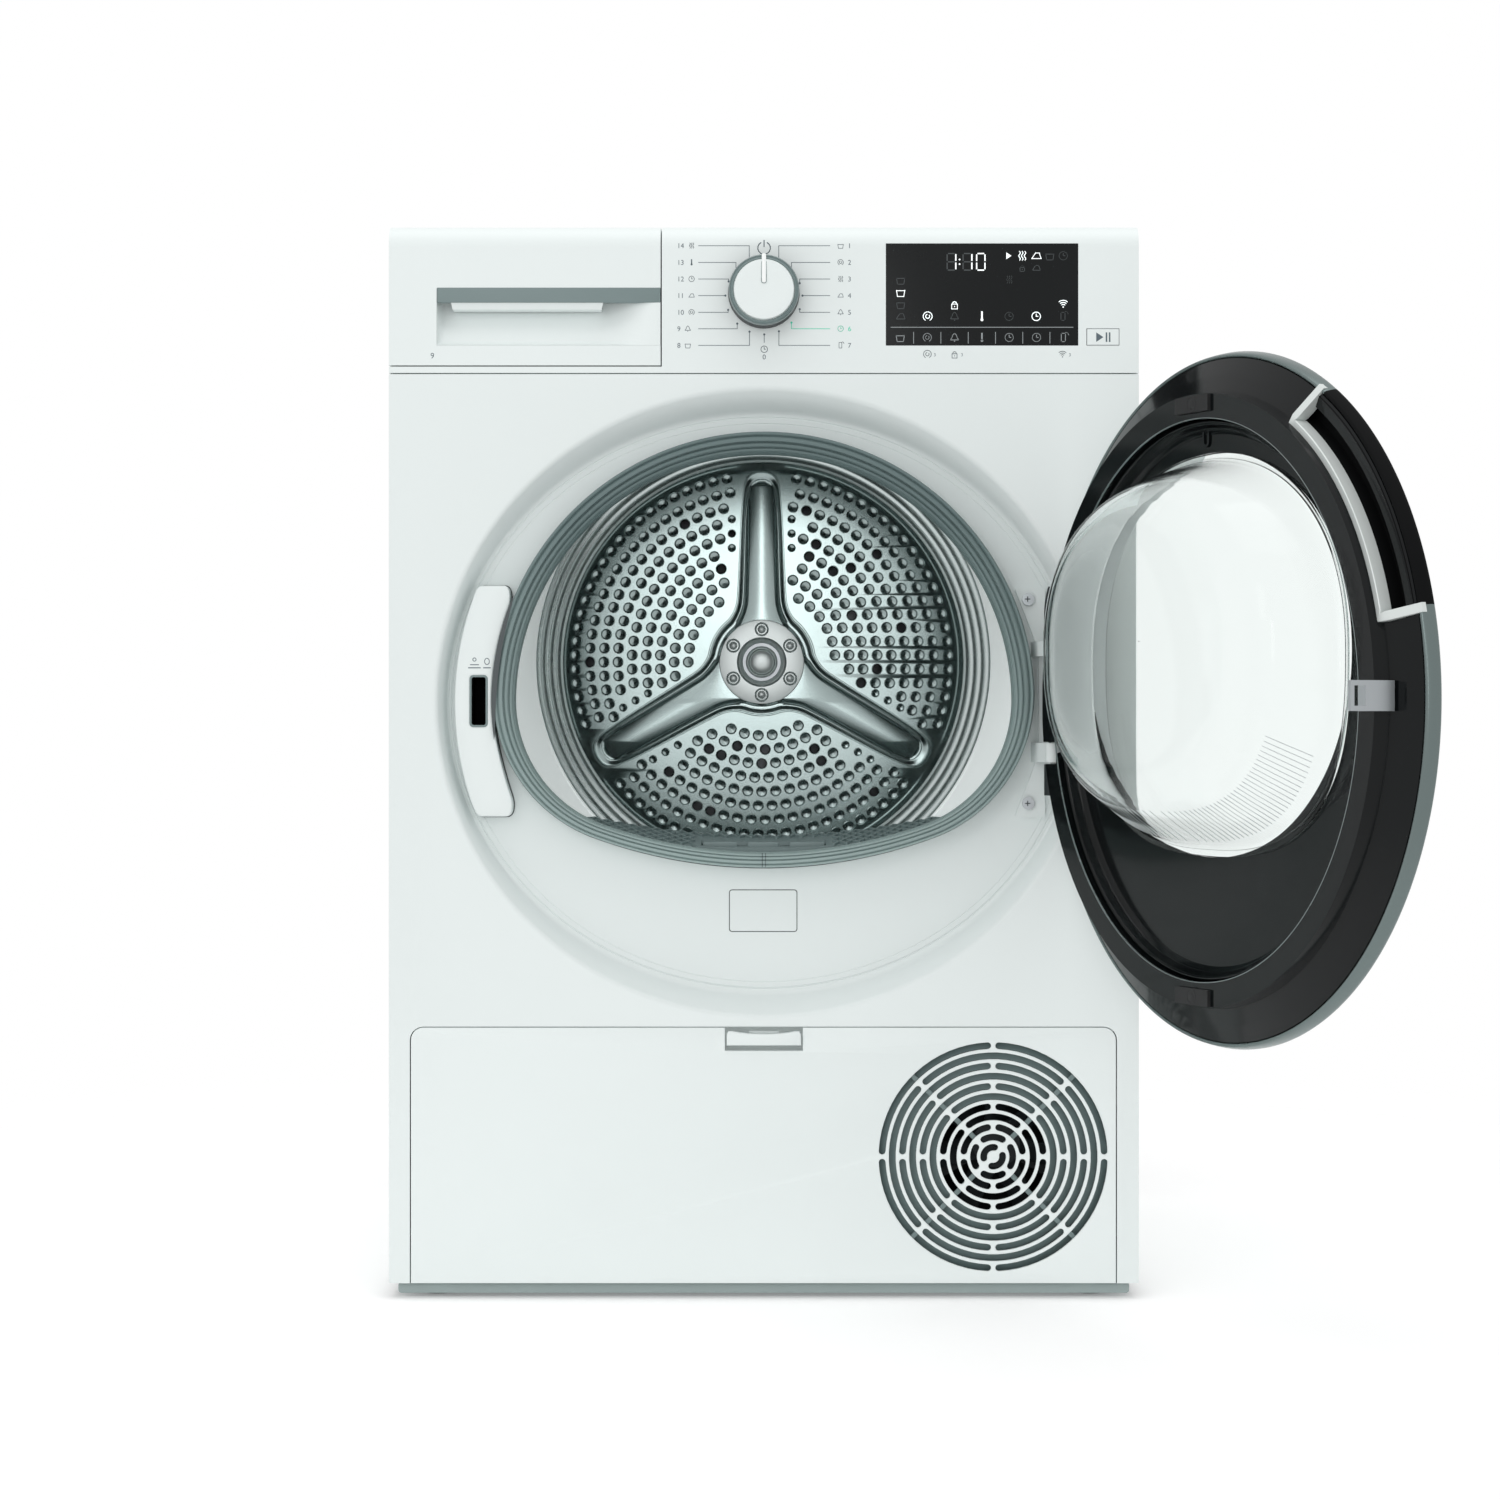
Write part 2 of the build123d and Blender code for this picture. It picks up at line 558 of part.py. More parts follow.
def make_drum_lifters():
    lifters = []
    for k in range(3):
        profile = Polygon((-34, -DRUM_R + 7), (0, -DRUM_R + 62), (34, -DRUM_R + 7), align=None)
        bar = slab(profile, 60, 350)
        bar -= slab(Polygon((-28, -DRUM_R + 9), (0, -DRUM_R + 55), (28, -DRUM_R + 9), align=None), 63, 347)
        bar &= Pos(0, 200, 0) * Rot(X=90) * Cylinder(DRUM_R - DRUM_SHEET - 0.05, 400)
        lifters.append(drum_frame(Rot(Y=60 + 120 * k) * bar))
    return Compound(children=lifters)


def make_drum_axle():
    rear = BACK_S + 1.5
    shaft = Pos(0, (rear + 436) / 2, 0) * Rot(X=90) * Cylinder(AXLE_R, 436 - rear)
    hub = Pos(0, rear + 3, 0) * Rot(X=90) * Cylinder(42, 6)
    spider = shaft + hub
    for k in range(3):
        spider += Rot(Y=120 * k) * block(-20, 20, rear, rear + 4, 0, 176)
    return drum_frame(spider)


def make_rear_bulkhead():
    duct = turned([(206, 392.2), (231, 392.2), (231, 394), (215.5, 394), (215.5, 470), (213.5, 470),
                   (213.5, 394), (206, 394)])
    hub = turned([(16.0, 402), (30, 402), (30, 438), (16.0, 438)])
    spokes = None
    for k in range(3):
        arm = Rot(Y=60 + 120 * k) * block(-16, 16, 418, 428, 26, 214.5)
        spokes = arm if spokes is None else spokes + arm
    body = drum_frame(duct + hub + spokes)
    return body & block(-300, 300, 0, REAR_SHEET, 200, 850)


def make_drum_bearing():
    inner = AXLE_R + RUNNING
    return drum_frame(turned([(inner, 402), (16.0, 402), (16.0, 438), (inner, 438)]))


def belt_loop(grow):
    """The taut loop round the drum, the motor pulley and the idler."""
    edges = Curve() + [
        (Pos(0, 0) * Circle(DRUM_R + grow)).edge(),
        (Pos(MOTOR_X, MOTOR_T) * Circle(PULLEY_R + grow)).edge(),
        (Pos(IDLER_X, IDLER_T) * Circle(IDLER_R + grow)).edge(),
    ]
    plane = Plane(origin=(0, BELT_S + BELT_W / 2, 0), x_dir=(1, 0, 0), z_dir=(0, -1, 0))
    return plane * make_hull(edges.edges())


def make_drum_belt():
    outer = extrude(belt_loop(GAP + BELT_T), amount=BELT_W)
    inner = extrude(belt_loop(GAP), amount=BELT_W)
    return drum_frame(outer - inner)


def at_motor(shape):
    return drum_frame(Pos(MOTOR_X, 0, MOTOR_T) * shape)


def make_motor_rotor():
    shape = turned([(0, 236), (PULLEY_R, 236), (PULLEY_R, 251), (6, 251), (6, 272), (30, 272), (30, 326),
                    (6, 326), (6, 424), (0, 424)])
    return at_motor(shape)


def make_motor_housing():
    bore = 6 + RUNNING
    can = turned([(bore, 254), (50, 254), (50, 344), (bore, 344), (bore, 340), (46, 340), (46, 326),
                  (30.6, 326), (30.6, 272), (46, 272), (46, 258), (bore, 258)])
    foot = block(55, 135, 74, 158, TRAY_TOP, 90) - at_motor(Pos(0, 300, 0) * Rot(X=90) * Cylinder(49, 120))
    return at_motor(can) + foot


def make_process_fan():
    wheel = turned([(6.0, 369), (14, 369), (14, 412), (FAN_R, 412), (FAN_R, 414.5), (6.0, 414.5)])
    wheel += turned([(54, 370), (FAN_R, 370), (FAN_R, 372), (54, 372)])
    for k in range(14):
        wheel += Rot(Y=k * 360 / 14) * block(-1.2, 1.2, 371, 413, 55, FAN_R - 1)
    return at_motor(wheel)


def make_fan_scroll():
    shell = turned([(48, 352), (86.5, 352), (86.5, 470), (84, 470), (84, 355), (48, 355)])
    foot = block(50, 140, 190, 240, TRAY_TOP, 44) - at_motor(Pos(0, 400, 0) * Rot(X=90) * Cylinder(85, 200))
    return (at_motor(shell) + foot) & block(-300, 300, 0, REAR_SHEET - SHEET, 0, 400)


def make_idler_pulley():
    wheel = turned([(5 + RUNNING, BELT_S - 7), (IDLER_R, BELT_S - 7), (IDLER_R, BELT_S + 7),
                    (5 + RUNNING, BELT_S + 7)])
    return drum_frame(Pos(IDLER_X, 0, IDLER_T) * wheel)


def make_idler_arm():
    """The sprung arm that the idler turns on, standing on the base tray."""
    pin = drum_frame(Pos(IDLER_X, BELT_S - 2, IDLER_T) * Rot(X=90) * Cylinder(5.0, 24))
    post = block(IDLER_X - 12, IDLER_X + 12, 54.0, 57.0, TRAY_TOP, 165)
    foot = block(IDLER_X - 12, IDLER_X + 12, 54.0, 74, TRAY_TOP, TRAY_TOP + 3)
    return pin + post + foot


def roller_at(sx):
    reach = DRUM_R + ROLLER_R + GAP
    x = sx * reach * math.sin(math.radians(ROLLER_ANGLE))
    t = -reach * math.cos(math.radians(ROLLER_ANGLE))
    return Pos(x, 0, t)


def make_drum_roller(sx):
    wheel = turned([(6 + RUNNING, 28), (ROLLER_R, 28), (ROLLER_R, 46), (6 + RUNNING, 46)])
    return drum_frame(roller_at(sx) * wheel)


# --- base unit -----------------------------------------------------------------------------------------------
def make_compressor():
    can = zcyl(205, -60, 57, 26, 186)
    can = fillet(can.edges(), 22)
    plate = block(147, 263, -118, -2, 22, 30)
    mounts = None
    for x, y in ((158, -107), (252, -107), (205, -12)):
        mount = zcyl(x, y, 9, TRAY_TOP, 22)
        mounts = mount if mounts is None else mounts + mount
    return can + plate + mounts


def fin_block(y0, y1):
    """A finned coil: thin fins and two thicker end plates on rows of tubes along X."""
    x0, x1, z0, z1 = -232.0, 22.0, TRAY_TOP, 180.0
    gaps = 36
    pitch = (x1 - x0) / gaps
    plates = []
    for k in range(gaps + 1):
        half = 1.5 if k in (0, gaps) else FIN_T / 2
        x = x0 + k * pitch
        plates.append(block(max(x - half, x0), min(x + half, x1), y0, y1, z0, z1))
    coil = plates[0].fuse(*plates[1:])
    tubes = []
    columns = round((y1 - y0) / 28)
    for i in range(columns):
        y = y0 + (i + 0.5) * (y1 - y0) / columns
        for z in (z0 + 28, z0 + 84, z0 + 140):
            tubes.append(Pos((x0 + x1) / 2, y, z) * Rot(Y=90) * Cylinder(TUBE_R, x1 - x0))
    return coil.fuse(*tubes)


def make_heat_exchangers():
    evaporator = fin_block(-226, -140)
    condenser = fin_block(-120, 20)
    return Compound(children=[evaporator, condenser])


def make_refrigerant_pipes():
    pipes = []
    routes = (
        [(205, -60, 191), (205, -60, 207), (120, -60, 207), (120, -60, 150), (22, -60, 150)],
        [(148, -60, 60), (100, -60, 60), (100, -180, 60), (22, -180, 60)],
    )
    for route in routes:
        path = FilletPolyline(*route, radius=9)
        start = Plane(origin=path @ 0, z_dir=path % 0)
        pipes.append(sweep(start * Circle(4.0), path=path))
    pipes[0] += zcyl(205, -60, 7, 186, 192)
    return Compound(children=pipes)


def make_base_duct():
    shell = block(DUCT_L, DUCT_R, DUCT_FRONT, DUCT_REAR, TRAY_TOP, DUCT_TOP)
    shell -= block(DUCT_L + 2.5, DUCT_R - 2.5, DUCT_FRONT + 2.5, DUCT_REAR - 2.5, 0, DUCT_TOP - 2.5)
    shell -= block(-221, 11, DUCT_FRONT - 1, DUCT_FRONT + 4, 34, 174)
    shell -= block(-53.5, 35, DUCT_FRONT + 2.5, FRONT + 56, DUCT_TOP - 5, DUCT_TOP + 1)
    shell -= block(-150, 0, DUCT_REAR - 4, DUCT_REAR + 1, 30, 120)
    # passages for the two refrigerant pipes
    for y, z in ((-60, 150), (-180, 60)):
        shell -= Pos(DUCT_R - 1, y, z) * Rot(Y=90) * Cylinder(5, 8)
    for x in (-234.5, 24.5):
        shell -= ycyl(x, 110, 3.2, DUCT_FRONT - 1, DUCT_FRONT + 4)
    return shell


def make_evaporator_hatch():
    plate = block(-226, 16, DUCT_FRONT - 4, DUCT_FRONT, 30, 178)
    plate += block(-219, 9, DUCT_FRONT, DUCT_FRONT + 3, 36, 172)
    grip = block(-140, -70, DUCT_FRONT - 10, DUCT_FRONT - 4, 100, 120)
    return plate + grip


def make_cover_lock(x):
    lever = block(x - 19, x + 19, DUCT_FRONT - 9, DUCT_FRONT - 4.6, 104, 116)
    stem = ycyl(x, 110, 5, DUCT_FRONT - 5, DUCT_FRONT - 0.3) + ycyl(x, 110, 3, DUCT_FRONT - 1, DUCT_FRONT + 6)
    tab = block(x - 2, x + 2, DUCT_FRONT - 13, DUCT_FRONT - 9, 106, 114)
    return lever + stem + tab


def make_cooling_fan_frame():
    y0, y1 = FRONT + 24, FRONT + 49
    cx, cz = 187.0, 120.0
    frame = block(cx - 70, cx + 70, y0, y1, cz - 66, cz + 66) - ycyl(cx, cz, COOLING_R + 3, y0 - 1, y1 + 1)
    hub = ycyl(cx, cz, 20, y1 - 6, y1)
    for k in range(3):
        spoke = block(-4, 4, y1 - 6, y1, 10, COOLING_R + 6)
        hub += Pos(cx, 0, cz) * Rot(Y=120 * k) * spoke
    frame += hub
    frame += ycyl(cx, cz, 3.0, y0 + 6, y1)
    for x in (cx - 60, cx + 45):
        frame += block(x, x + 15, y0 + 4, y1, TRAY_TOP, cz - 60)
    return frame


def make_cooling_fan_rotor():
    y0, y1 = FRONT + 27, FRONT + 42
    hub = turned([(3 + RUNNING, y0), (19, y0), (19, y1), (3 + RUNNING, y1)])
    for k in range(7):
        blade = Pos(0, (y0 + y1) / 2, 0) * Rot(Z=38) * block(-11, 11, -1, 1, 17, COOLING_R - 4)
        hub += Rot(Y=k * 360 / 7) * blade
    rotor = Pos(187.0, 0, 120.0) * hub
    return rotor - ycyl(187.0, 120.0, 3 + RUNNING, y0 - 10, y1 + 10)


def make_condensate_pump():
    body = block(-244, -188, 150, 226, TRAY_TOP, 92)
    motor = zcyl(-214, 180, 20, 90, 130)
    riser = block(-252, -228, 206, 226, 90, 202)
    outlet = ycyl(-240, 190, 8.0, 220, REAR - 2) - ycyl(-240, 190, 5.5, 224, REAR)
    return body + motor + riser + outlet


def make_cable_gland():
    y0, y1 = REAR_SHEET - 10, REAR_SHEET + 12
    gland = ycyl(-250, 60, 11.9, y0, REAR_SHEET) + ycyl(-250, 60, 15, REAR_SHEET, y1)
    return gland - ycyl(-250, 60, 4.5, y0 - 1, y1 + 1)


def make_cabinet_screws():
    heads = []
    floor = FRONT + RECESS_DEPTH - SHEET
    for z in (557.8, 393.8):
        heads.append(ycyl(212.5, z, 5.0, floor - 5.5, floor - 3))
    rear_z = NECK_Z + (REAR_SHEET - NECK_Y) * math.tan(math.radians(DRUM_TILT))
    for k in range(8):
        turn = math.radians(22.5 + 45 * k)
        x, z = 234.5 * math.cos(turn), rear_z + 234.5 * math.sin(turn)
        if k != COVERED_SCREW:
            heads.append(ycyl(x, z, 4.0, REAR_SHEET + SHEET, REAR_SHEET + SHEET + 2.5))
    for x in (-10.0, 200.0):
        heads.append(ycyl(x, 60.0, 4.0, REAR_SHEET + SHEET, REAR_SHEET + SHEET + 2.5))
    for x in (-285.0, 285.0):
        for z in (40.0, 300.0, 560.0, 820.0):
            heads.append(ycyl(x, z, 4.0, REAR_SHEET, REAR_SHEET + 2.5))
    return Compound(children=heads)


# --- lower front -----------------------------------------------------------------------------------------------
def make_service_flap():
    flap = slab(flap_outline(), FRONT, FRONT + FLAP_T)
    inner = slab(flap_outline(-4), FRONT + FLAP_T - 0.5, FRONT + 9)
    inner -= slab(flap_outline(-6.5), FRONT + FLAP_T, FRONT + 10)
    flap += inner & block(-300, 300, FRONT, FRONT + 20, 30, 220)
    flap -= block(-LATCH_HALF - 1.5, LATCH_HALF + 1.5, FRONT - 1, FRONT + 12, 197.5, 220)
    for n in range(GRILLE_RINGS):
        r = GRILLE_R - n * GRILLE_PITCH
        ring = Circle(r + SLOT_W / 2) - Circle(r - SLOT_W / 2)
        turn = 0 if n % 2 == 0 else 45
        bars = Rot(Z=turn) * (Rectangle(300, SLOT_W) + Rectangle(SLOT_W, 300))
        if n == GRILLE_RINGS - 1:
            bars = Rot(Z=45) * Rectangle(300, SLOT_W)
        flap -= slab(Pos(GRILLE_X, GRILLE_Z) * (ring - bars), FRONT - 1, FRONT + FLAP_T + 1)
    # hinge knuckles at the foot
    for hx in (FLAP_L + 16, FLAP_R - 28):
        flap += block(hx, hx + 12, FRONT + FLAP_T, FRONT + 8, 14, 21)
    return flap


def make_flap_latch():
    bar = block(-LATCH_HALF, LATCH_HALF, FRONT - 3, FRONT + 5, LATCH_LOW, LATCH_TOP)
    tongue = block(-12, 12, FRONT + 5, FRONT + 9, LATCH_LOW, LATCH_TOP)
    return bar + tongue


NODES = {
    "front_panel": make_front_panel,
    "left_side_panel": lambda: make_side_panel(-1),
    "right_side_panel": lambda: make_side_panel(1),
    "rear_panel": make_rear_panel,
    "rear_duct_cover": make_rear_duct_cover,
    "worktop": make_worktop,
    "base_tray": make_base_tray,
    "levelling_feet": make_levelling_feet,
    "control_fascia": make_control_fascia,
    "display_window": make_display_window,
    "control_board": make_control_board,
    "programme_knob": make_programme_knob,
    "start_key": make_start_key,
    "drawer_front": make_drawer_front,
    "water_tank": make_water_tank,
    "tank_guide": make_tank_guide,
    "opening_gasket": make_opening_gasket,
    "front_bulkhead": make_front_bulkhead,
    "sill_grille": make_sill_grille,
    "lint_filter": make_lint_filter,
    "latch_cover": make_latch_cover,
    "door_lock": make_door_lock,
    "hinge_bracket": make_hinge_bracket,
    "door_rim": make_door_rim,
    "door_outer_glass": make_door_outer_glass,
    "door_inner_frame": make_door_inner_frame,
    "door_bowl": make_door_bowl,
    "door_hook": make_door_hook,
    "door_bumpers": make_door_bumpers,
    "door_hinge_housing": make_door_hinge_housing,
    "drum_shell": make_drum_shell,
    "drum_front_ring": make_drum_front_ring,
    "drum_back": make_drum_back,
    "drum_lifters": make_drum_lifters,
    "drum_axle": make_drum_axle,
    "rear_bulkhead": make_rear_bulkhead,
    "drum_bearing": make_drum_bearing,
    "drum_belt": make_drum_belt,
    "motor_rotor": make_motor_rotor,
    "motor_housing": make_motor_housing,
    "process_fan": make_process_fan,
    "fan_scroll": make_fan_scroll,
    "idler_pulley": make_idler_pulley,
    "idler_arm": make_idler_arm,
    "drum_roller_left": lambda: make_drum_roller(-1),
    "drum_roller_right": lambda: make_drum_roller(1),
    "compressor": make_compressor,
    "heat_exchangers": make_heat_exchangers,
    "refrigerant_pipes": make_refrigerant_pipes,
    "base_duct": make_base_duct,
    "evaporator_hatch": make_evaporator_hatch,
    "cover_lock_left": lambda: make_cover_lock(-234.5),
    "cover_lock_right": lambda: make_cover_lock(24.5),
    "cooling_fan_frame": make_cooling_fan_frame,
    "cooling_fan_rotor": make_cooling_fan_rotor,
    "condensate_pump": make_condensate_pump,
    "cable_gland": make_cable_gland,
    "cabinet_screws": make_cabinet_screws,
    "service_flap": make_service_flap,
    "flap_latch": make_flap_latch,
}

os.makedirs("parts", exist_ok=True)
for name, make in NODES.items():
    export_step(make(), f"parts/{name}.step")
print(len(NODES), "nodes")
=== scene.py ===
import json
import random
from math import asin, atan2, copysign, cos, degrees, hypot, pi, radians, sin, sqrt

import bmesh
import bpy
from mathutils import Matrix, Vector
from mathutils.geometry import tessellate_polygon


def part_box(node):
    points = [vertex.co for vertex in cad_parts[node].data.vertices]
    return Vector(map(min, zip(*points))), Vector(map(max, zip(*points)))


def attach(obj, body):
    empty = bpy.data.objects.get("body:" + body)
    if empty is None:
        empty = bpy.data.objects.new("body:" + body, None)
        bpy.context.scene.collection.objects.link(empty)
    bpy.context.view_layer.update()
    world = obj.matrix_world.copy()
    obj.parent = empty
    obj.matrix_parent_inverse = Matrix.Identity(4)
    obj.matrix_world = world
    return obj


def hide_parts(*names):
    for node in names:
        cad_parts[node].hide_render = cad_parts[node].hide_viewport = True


# Looks for a heat-pump clothes dryer. Lengths in this script are millimetres until they reach
# a mesh; x is to the right, z is up, and a depth d runs back from the cabinet's front plane.

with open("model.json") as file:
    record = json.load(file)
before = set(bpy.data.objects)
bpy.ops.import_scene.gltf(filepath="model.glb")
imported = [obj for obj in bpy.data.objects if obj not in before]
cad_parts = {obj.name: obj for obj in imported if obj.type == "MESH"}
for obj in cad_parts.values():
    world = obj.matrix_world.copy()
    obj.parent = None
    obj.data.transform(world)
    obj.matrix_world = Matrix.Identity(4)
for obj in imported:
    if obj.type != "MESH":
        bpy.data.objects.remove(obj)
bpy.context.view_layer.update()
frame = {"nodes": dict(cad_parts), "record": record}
MM = 0.001
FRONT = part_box("front_panel")[0].y / MM
OPEN_Z = 474.6                     # height of the door opening's centre
NECK_D, NECK_Z, TILT = 100.0, 508.0, radians(1.2)    # the drum's own frame
GRILLE_X, GRILLE_Z = 182.6, 113.0    # the middle of the round grille
HINGE_X, HINGE_D, DOOR_OPEN = 231.0, -14.5, radians(114.5)

# --- materials ---
def srgb(*colour):
    return [(c / 255 + 0.055) ** 2.4 / 1.055 ** 2.4 if c > 10 else c / 255 / 12.92 for c in colour] + [1.0]


def set_inputs(node, values):
    """Sets a node's sockets; a _ in a name stands for a space."""
    for name, value in values.items():
        node.inputs[name.replace("_", " ")].default_value = value


def add_node(tree, kind, **values):
    node = tree.nodes.new("ShaderNode" + kind)
    set_inputs(node, values)
    return node


def join(tree, *ends):
    """Links nodes; each end is a node, its output, the next node and its input."""
    for source, output, target, socket in ends:
        tree.links.new(source.outputs[output], target.inputs[socket])


def skin(name, colour, rough=0.4, metal=0.0, vary=0.04, rough_vary=0.05, grain=700.0, bump=0.04,
         stretch=(1, 1, 1), cells=0.0, **sockets):
    """A finish whose colour, roughness and surface all vary with noise; vary is a share of the colour."""
    mat = bpy.data.materials.new(name)
    mat.use_nodes = True
    tree = mat.node_tree
    shader = tree.nodes["Principled BSDF"]
    place = add_node(tree, "TexCoord")
    mapping = add_node(tree, "Mapping", Scale=stretch)
    broad = add_node(tree, "TexNoise", Scale=11.0, Detail=4.0)
    fine = add_node(tree, "TexVoronoi" if cells else "TexNoise", Scale=cells or grain)
    tone = add_node(tree, "Mix")
    tone.data_type = "RGBA"
    tone.inputs[6].default_value = [c * (1 - vary) for c in colour[:3]] + [1]
    tone.inputs[7].default_value = [min(1.0, c * (1 + vary)) for c in colour[:3]] + [1]
    low_rough = max(0.02, rough - rough_vary)
    spread = add_node(tree, "MapRange", To_Min=low_rough, To_Max=rough + rough_vary)
    dents = add_node(tree, "Bump", Strength=bump, Distance=0.0003)
    join(tree, (place, "Object", mapping, "Vector"), (mapping, "Vector", broad, "Vector"),
         (mapping, "Vector", fine, "Vector"), (fine if cells else broad, 0, tone, 0),
         (tone, 2, shader, "Base Color"), (broad, 0, spread, "Value"), (spread, 0, shader, "Roughness"),
         (fine, 0, dents, "Height"), (dents, 0, shader, "Normal"))
    set_inputs(shader, {"Metallic": metal, **sockets})
    return mat


SKINS = {}


def coat(name, rgb, rough=0.4, metal=0.0, **look):
    """Adds a finish to SKINS under its name."""
    SKINS[name] = skin(name, srgb(*rgb), rough, metal, **look)


coat("white_enamel", (227, 234, 233), 0.34, grain=420, bump=0.05, vary=0.012)
coat("white_plastic", (229, 236, 235), 0.42, grain=1600, bump=0.06, vary=0.012)
coat("galvanised", (168, 174, 178), 0.42, 0.85, vary=0.16, cells=130, bump=0.02)
coat("black_gloss", (14, 17, 18), 0.12, vary=0.2, rough_vary=0.03, bump=0.01, Specular_IOR_Level=0.2)
coat("dark_plastic", (38, 43, 45), 0.5, grain=1800, bump=0.12, vary=0.1, Specular_IOR_Level=0.3)
coat("silver_plastic", (146, 156, 156), 0.28, 0.75, grain=2600, bump=0.03)
coat("grey_rubber", (136, 151, 149), 0.55, grain=1500, bump=0.15, vary=0.06)
coat("grey_plastic", (118, 134, 134), 0.45, grain=1500, bump=0.08)
coat("drum_steel", (208, 217, 216), 0.24, 1.0, grain=260, bump=0.05, stretch=(8, 1, 8))
coat("clear_glass", (250, 253, 252), 0.03, rough_vary=0.01, vary=0.002, bump=0.0,
     Transmission_Weight=1.0, IOR=1.18)
coat("black_glass", (7, 9, 10), 0.08, rough_vary=0.02, bump=0.005, vary=0.1, Specular_IOR_Level=0.06)
coat("board_green", (22, 84, 52), 0.4, grain=300, bump=0.1, vary=0.2)
coat("black_rubber", (24, 25, 26), 0.7, grain=1400, bump=0.2, vary=0.15)
coat("cast_black", (30, 31, 33), 0.5, 0.2, grain=500, bump=0.3, vary=0.2)
coat("aluminium_fins", (196, 200, 203), 0.35, 0.9, grain=40, bump=0.9, stretch=(30, 0.2, 0.2))
coat("copper", (196, 120, 84), 0.32, 1.0, vary=0.12, bump=0.05)
coat("tank_plastic", (206, 212, 213), 0.38, grain=500, bump=0.05, Subsurface_Weight=0.15)
coat("steel", (176, 181, 184), 0.3, 1.0, grain=300, bump=0.05, stretch=(1, 30, 1))
coat("bronze", (150, 112, 70), 0.4, 1.0, vary=0.1, bump=0.06)
coat("drum_wall_steel", (163, 177, 176), 0.18, 1.0, rough_vary=0.03, grain=500, bump=0.04)
coat("polished", (198, 207, 206), 0.27, 1.0, grain=90, bump=0.05, stretch=(1, 12, 1))
coat("print_ink", (86, 100, 108), 0.6, vary=0.05, bump=0.02)
coat("print_teal", (52, 214, 176), 0.6, vary=0.05, bump=0.02)
coat("seam", (78, 84, 86), 0.7, vary=0.1, bump=0.05)
coat("pale_grey", (158, 172, 171), 0.5, grain=900, bump=0.05)
coat("rim_silver", (112, 124, 123), 0.26, 0.8, grain=2600, bump=0.03)
# the neck's white finish glows a little: painted light on a part the lamps barely reach
coat("neck_white_painted_glow", (244, 250, 249), 0.45, vary=0.01, Emission_Color=(0.93, 1, 0.99, 1),
     Emission_Strength=0.13)
coat("trim_silver", (214, 220, 218), 0.4, 0.3, vary=0.02, bump=0.02)
coat("hub_satin", (222, 229, 228), 0.34, 0.9, vary=0.03, bump=0.03)
coat("pocket_black", (8, 9, 10), 0.7, vary=0.2, Specular_IOR_Level=0.1)
# the seal's finish is darkened towards its top further down, as painted shade
coat("seal_rubber", (136, 151, 149), 0.55, grain=1500, bump=0.15)
coat("bright_white", (246, 249, 248), 0.35, vary=0.01)
coat("display_lit", (235, 240, 240), 0.5, vary=0.02, Emission_Color=(0.85, 0.9, 0.9, 1),
     Emission_Strength=0.6)
coat("display_dim", (58, 64, 66), 0.4, vary=0.05)
coat("display_keys", (150, 156, 158), 0.5, vary=0.03)
coat("frosted", (206, 213, 213), 0.4, vary=0.01, bump=0.05, Transmission_Weight=0.3, IOR=1.2)
coat("glass_band", (226, 233, 233), 0.35, vary=0.02, bump=0.02, Transmission_Weight=0.25, IOR=1.15)


def paint_seal_shade():
    """Paints shade on the door seal: darker towards its top, paler towards its foot."""
    tree = SKINS["seal_rubber"].node_tree
    height = add_node(tree, "SeparateXYZ")
    shade_by_height = add_node(tree, "MapRange", From_Min=0.33, From_Max=0.62)
    tone = next(n for n in tree.nodes if n.bl_idname == "ShaderNodeMix")
    place = next(n for n in tree.nodes if n.bl_idname == "ShaderNodeTexCoord")
    # the two tones are painted shade: pale at the foot, darker at the top
    tone.inputs[6].default_value, tone.inputs[7].default_value = srgb(152, 170, 168), srgb(98, 116, 116)
    join(tree, (place, "Object", height, 0), (height, "Z", shade_by_height, "Value"), (shade_by_height, 0, tone, 0))


paint_seal_shade()

# --- CAD nodes keep their shape and get a finish ---
for part in frame["record"]["subparts"]:
    node = frame["nodes"][part["node"]]
    node.data.materials.clear()
    node.data.materials.append(SKINS[part["material_slot"]])
frame["nodes"]["door_lock"].data.materials[0] = SKINS["pocket_black"]
# the white neck gets the finish with the painted glow
frame["nodes"]["front_bulkhead"].data.materials[0] = SKINS["neck_white_painted_glow"]


# --- mesh building ---
def put(name, data):
    """Adds an object to the scene."""
    added = bpy.data.objects.new(name, data)
    bpy.context.scene.collection.objects.link(added)
    return added


def at(x, d, z):
    """A point given by its place across, its depth behind the front plane and its height."""
    return Vector((x, FRONT + d, z)) * MM


def in_drum(x, s, t):
    """A point in the drum's own frame, which lies along the tilted axis from the neck back."""
    return at(x, NECK_D + s * cos(TILT) - t * sin(TILT),
              NECK_Z + s * sin(TILT) + t * cos(TILT))


def on_door(u, d, v):
    """A point of the closed door, from its centre, where it is with the door standing open."""
    pin = at(HINGE_X, HINGE_D, 0)
    return pin + Matrix.Rotation(DOOR_OPEN, 3, "Z") @ (at(u, d, OPEN_Z + v) - pin)


def polar(r, angle):
    return r * cos(angle), r * sin(angle)


def face_on(loop):
    """A loop of points as (x, z), without their depth."""
    return [(x, z) for x, _, z in loop]


def turned(points, turn):
    """Points (x, z) turned about the origin."""
    c, s = cos(radians(turn)), sin(radians(turn))
    return [(u * c - v * s, u * s + v * c) for u, v in points]


def ellipse(a, b, n=192, x=0.0, z=0.0, start=0.0, stop=360.0):
    """Points (x, z) along an ellipse; the end point is left out when it closes."""
    full = stop - start >= 360
    steps = n if full else n - 1
    angles = [radians(start + (stop - start) * k / steps) for k in range(n)]
    return [(x + a * cos(w), z + b * sin(w)) for w in angles]


